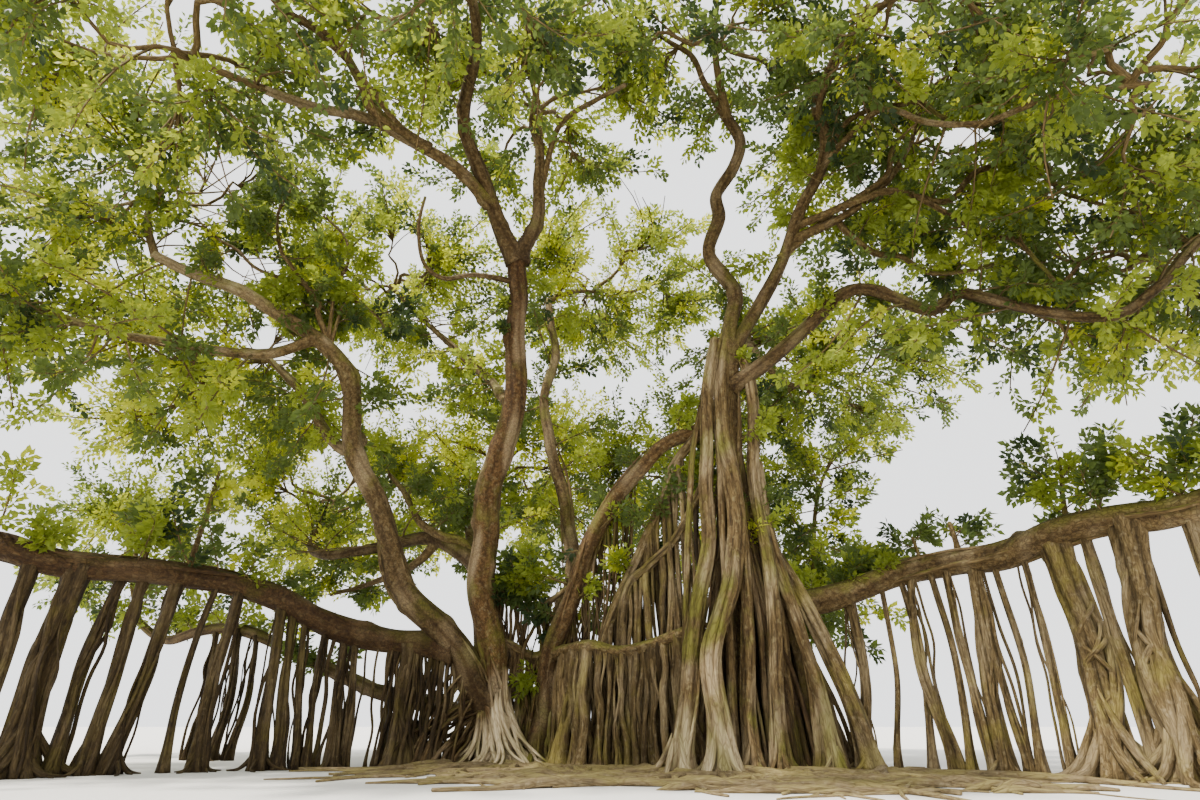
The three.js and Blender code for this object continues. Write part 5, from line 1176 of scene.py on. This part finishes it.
# A twiglet stays in its own mass, near the box and off the limbs' bark, and no twig bears less than three.
# How far out it ends in a mass is 1 at the mass's surface.
depths = np.linalg.norm((ends[:, None] - middles) / reaches, axis=2)
own = np.hstack([depths, np.ones((len(ends), 1))])
mine = own[every, twigletMass]
own[every, twigletMass] = 9
apart = (own.min(1) > mine - 0.12) & (mine < 1.2) | ~onMass[twigOf]
inside = ((ends > boxLow - twigletsPast) & (ends < boxHigh + twigletsPast)).all(1)
shows = np.where(onUpright[twigOf], chance(95, every) < 0.45, isOpen & clears)
keep = shows & apart & inside & (nearest > 0.1)
keep &= np.bincount(twigOf[keep], minlength=len(twigRoutes))[twigOf] >= 3
root, direction, length, ends, twigOf, twigletMass = (
    a[keep] for a in (root, direction, length, ends, twigOf, twigletMass))
print("twigs", len(twigRoutes), "twiglets", len(root))


# Two directions square to each of many others, from the axis each runs least along.
def squareTo(direction):
    side = unit(np.cross(direction, np.eye(3)[np.abs(direction).argmin(axis=1)]))
    return side, np.cross(direction, side)


# A shape of many like parts, each with the same faces on corners of its own.
def manyOf(corners, faces):
    tris = (np.arange(len(corners))[:, None, None] * corners.shape[1] + faces).reshape(-1, 3)
    return dict(points=corners.reshape(-1, 3), quads=np.zeros((0, 4), int), tris=tris)


# Slim cones of three sides: a ring at the root, a tip, three side faces and a base.
def cones(roots, tips, radius):
    side, across = squareTo(unit(tips - roots))
    ring = roots[:, None] + radius * turned(ringTurns(3), side[:, None], across[:, None])
    faces = np.array([(0, 2, 1), (0, 1, 3), (1, 2, 3), (2, 0, 3)])
    shape = manyOf(np.concatenate([ring, tips[:, None]], axis=1), faces)
    return tinted(shape | dict(grain=shape["points"] * [1, 1, 0.3]))


usedTwigs = np.unique(twigOf)
twigLook = dict(
    barkLook, fineness=40, patchSize=2.0, bump=0.004, mossMost=0.3, crackMost=0.3, lichenMost=0.2)
twigSkin = barkMaterial("twigBark", twigLook, pattern)
branchRoutes, branchRadii = np.concatenate(branchRoutes), np.concatenate(branchRadii)
stems = joined([
    tinted(tubeBatch(np.array(stemRoutes), np.array(stemRadii), 10, 101, ribs=3, ribDepth=0.06)),
    tinted(tubeBatch(branchRoutes, branchRadii, 7, 102, ribs=3, ribDepth=0.05)),
])
makePiece("leafy_branches", stems, twigSkin, list(masses))
makePiece("twigs", tinted(tubeBatch(twigRoutes[usedTwigs], twigRadii[usedTwigs], 3, 103)), twigSkin)
makePiece("twiglets", cones(root, ends, foliage["twigletRadius"]), twigSkin, smooth=False)

print("growing the leaves")
isNear = np.append(middles[:, 1] < -4.5, False)[twigletMass]
fineness = np.array([0.85 if name.endswith("bough_end") else 1.0 for name in masses] + [1.0])
side, across = squareTo(direction)


# The corners of the leaves on some twiglets, and which twiglet each is on. Leaves stand along a twiglet by
# the golden angle, each with a tilt of its own.
def leavesOn(twiglets, leaf, blade, seed):
    each = leaf["count"]
    carrier = np.repeat(twiglets, each)
    order = np.tile(np.arange(each), len(twiglets))
    k = np.arange(len(carrier))
    share = np.minimum(0.08 + 0.94 * (order + chance(seed, k)) / each, 1)
    base = root[carrier] + direction[carrier] * (length[carrier] * share)[:, None]
    outward = turned(order * goldenAngle + anyTurn(seed + 1, carrier), side[carrier], across[carrier])
    lean = 1.2 - 0.6 * share + 0.6 * (chance(seed + 2, k) - 0.5)
    way = unit(turned(lean, direction[carrier], outward) + [0, 0, -0.15])
    tilt = chance(seed + np.array([3, 4, 5]), k[:, None]) * 2 - 1
    face = [0, 0, 1] + 1.15 * tilt
    face = unit(face - (face * way).sum(-1, keepdims=True) * way)
    size = leaf["length"] * fineness[twigletMass[carrier]] * (0.7 + 0.55 * chance(seed + 6, k))
    size = size[:, None, None]
    stalk = 0.25 * size[:, 0] * outward
    axes = np.stack([way, leaf["width"] * np.cross(face, way), face], 1)
    return (base + stalk)[:, None] + size * (blade @ axes), carrier


# Two blades, in shares of the leaf's length along and up, and of its width across: an ovate one of six
# corners that arches down to its tip, and one of four corners that is folded along its midrib.
ovate = np.array([
    (0, 0, 0), (0.26, -0.5, 0.04), (0.66, -0.42, 0.02), (1, 0, -0.09), (0.66, 0.42, 0.02), (0.26, 0.5, 0.04)])
folded = np.array([(0, 0, 0), (0.45, -0.5, 0.07), (1, 0, -0.05), (0.45, 0.5, 0.07)])
ovateFaces = np.array([(0, 1, 5), (1, 2, 5), (5, 2, 4), (2, 3, 4)])
foldedFaces = np.array([(0, 1, 2), (0, 2, 3)])
leafKinds = {
    "near": (*leavesOn(np.flatnonzero(isNear), nearLeaf, ovate, 111), ovateFaces),
    "far": (*leavesOn(np.flatnonzero(~isNear), farLeaf, folded, 131), foldedFaces),
}
pieceMost = 196000  # triangles in one piece of leaves

# Each green: the blade's colour, and the light that comes through it. Their spread from bright to dark is
# partly a tone that differs at random from spray to spray and partly painted light and shade: the brightest
# green paints sunlit leaves and the darkest leaves in shade.
greens = {
    "bright_leaf": ((0.30, 0.33, 0.03), (0.74, 0.76, 0.055)),
    "fresh_leaf": ((0.16, 0.205, 0.028), (0.40, 0.46, 0.042)),
    "mid_leaf": ((0.066, 0.098, 0.026), (0.165, 0.22, 0.036)),
    "dark_leaf": ((0.027, 0.046, 0.018), (0.062, 0.095, 0.026)),
}


# A leaf's skin: a satin blade, with light passing through it. The colour is plain, as it is dealt by spray.
def leafMaterial(name, colour, through):
    satin = {"Base Color": (*colour, 1), "Roughness": 0.42, "Specular IOR Level": 0.22}
    material, tree, shader = newMaterial(name, satin)
    glow = addNode(tree, "BsdfTranslucent", {"Color": (*through, 1)})
    blend = addNode(tree, "MixShader", {"Fac": 0.5, 1: shader.outputs["BSDF"], 2: glow.outputs["BSDF"]})
    tree.links.new(blend.outputs["Shader"], tree.nodes["Material Output"].inputs["Surface"])
    return material


shares = np.array([np.cumsum(mix) / sum(mix) for mix in [*(mass[4] for mass in masses.values()), mixedGreen]])
tone = twigTone[twigOf] * 0.75 + 0.25 * chance(121, np.arange(len(root)))
greenOfTwiglet = (tone[:, None] > shares[twigletMass]).sum(1)
for green, (name, colours) in enumerate(greens.items()):
    skin = leafMaterial(name, *colours)
    for kind, (corners, carrier, faces) in leafKinds.items():
        chosen = np.flatnonzero(greenOfTwiglet[carrier] == green)
        pieces = max(1, math.ceil(len(chosen) * len(faces) / pieceMost))
        for n, part in enumerate(np.array_split(chosen, pieces)):
            makePiece(f"{name}_{kind}_{n + 1}", manyOf(corners[part], faces), skin, smooth=False)
print("leaves", {kind: len(carrier) for kind, (corners, carrier, faces) in leafKinds.items()})


# Puts a thing into the scene.
def place(thing):
    bpy.context.scene.collection.objects.link(thing)
    return thing


# The pale floor, the sky's soft light, a soft sun from high on the left in front, and the camera.
floorHalf = 1500
floor = place(bpy.data.objects.new("floor", bpy.data.meshes.new("floor")))
square = [(-floorHalf, -floorHalf), (floorHalf, -floorHalf), (floorHalf, floorHalf), (-floorHalf, floorHalf)]
floor.data.from_pydata([(x, y, -0.003) for x, y in square], [], [(0, 1, 2, 3)])
floor.data.materials.append(newMaterial("floor", {"Base Color": (0.72, 0.70, 0.66, 1), "Roughness": 0.95})[0])

world = bpy.data.worlds.new("studio")
world.use_nodes = True
sky = world.node_tree.nodes["Background"].inputs
sky["Color"].default_value = (0.98, 0.99, 1.0, 1)
sky["Strength"].default_value = 2.3
bpy.context.scene.world = world
sun = place(bpy.data.objects.new("sun", bpy.data.lights.new("sun", "SUN")))
sun.data.energy = 8.0
sun.data.angle = math.radians(3)
sun.data.color = (1.0, 0.95, 0.86)
sun.rotation_euler = [math.radians(tilt) for tilt in (26, -20, -22)]

camera = place(bpy.data.objects.new("camera", bpy.data.cameras.new("camera")))
camera.data.lens = eye["lens"]
camera.data.sensor_width = eye["sensor"]
camera.data.clip_end = 4000
camera.location = eye["place"]
camera.rotation_euler = (math.radians(90 + eye["pitch"]), 0, 0)
bpy.context.scene.camera = camera
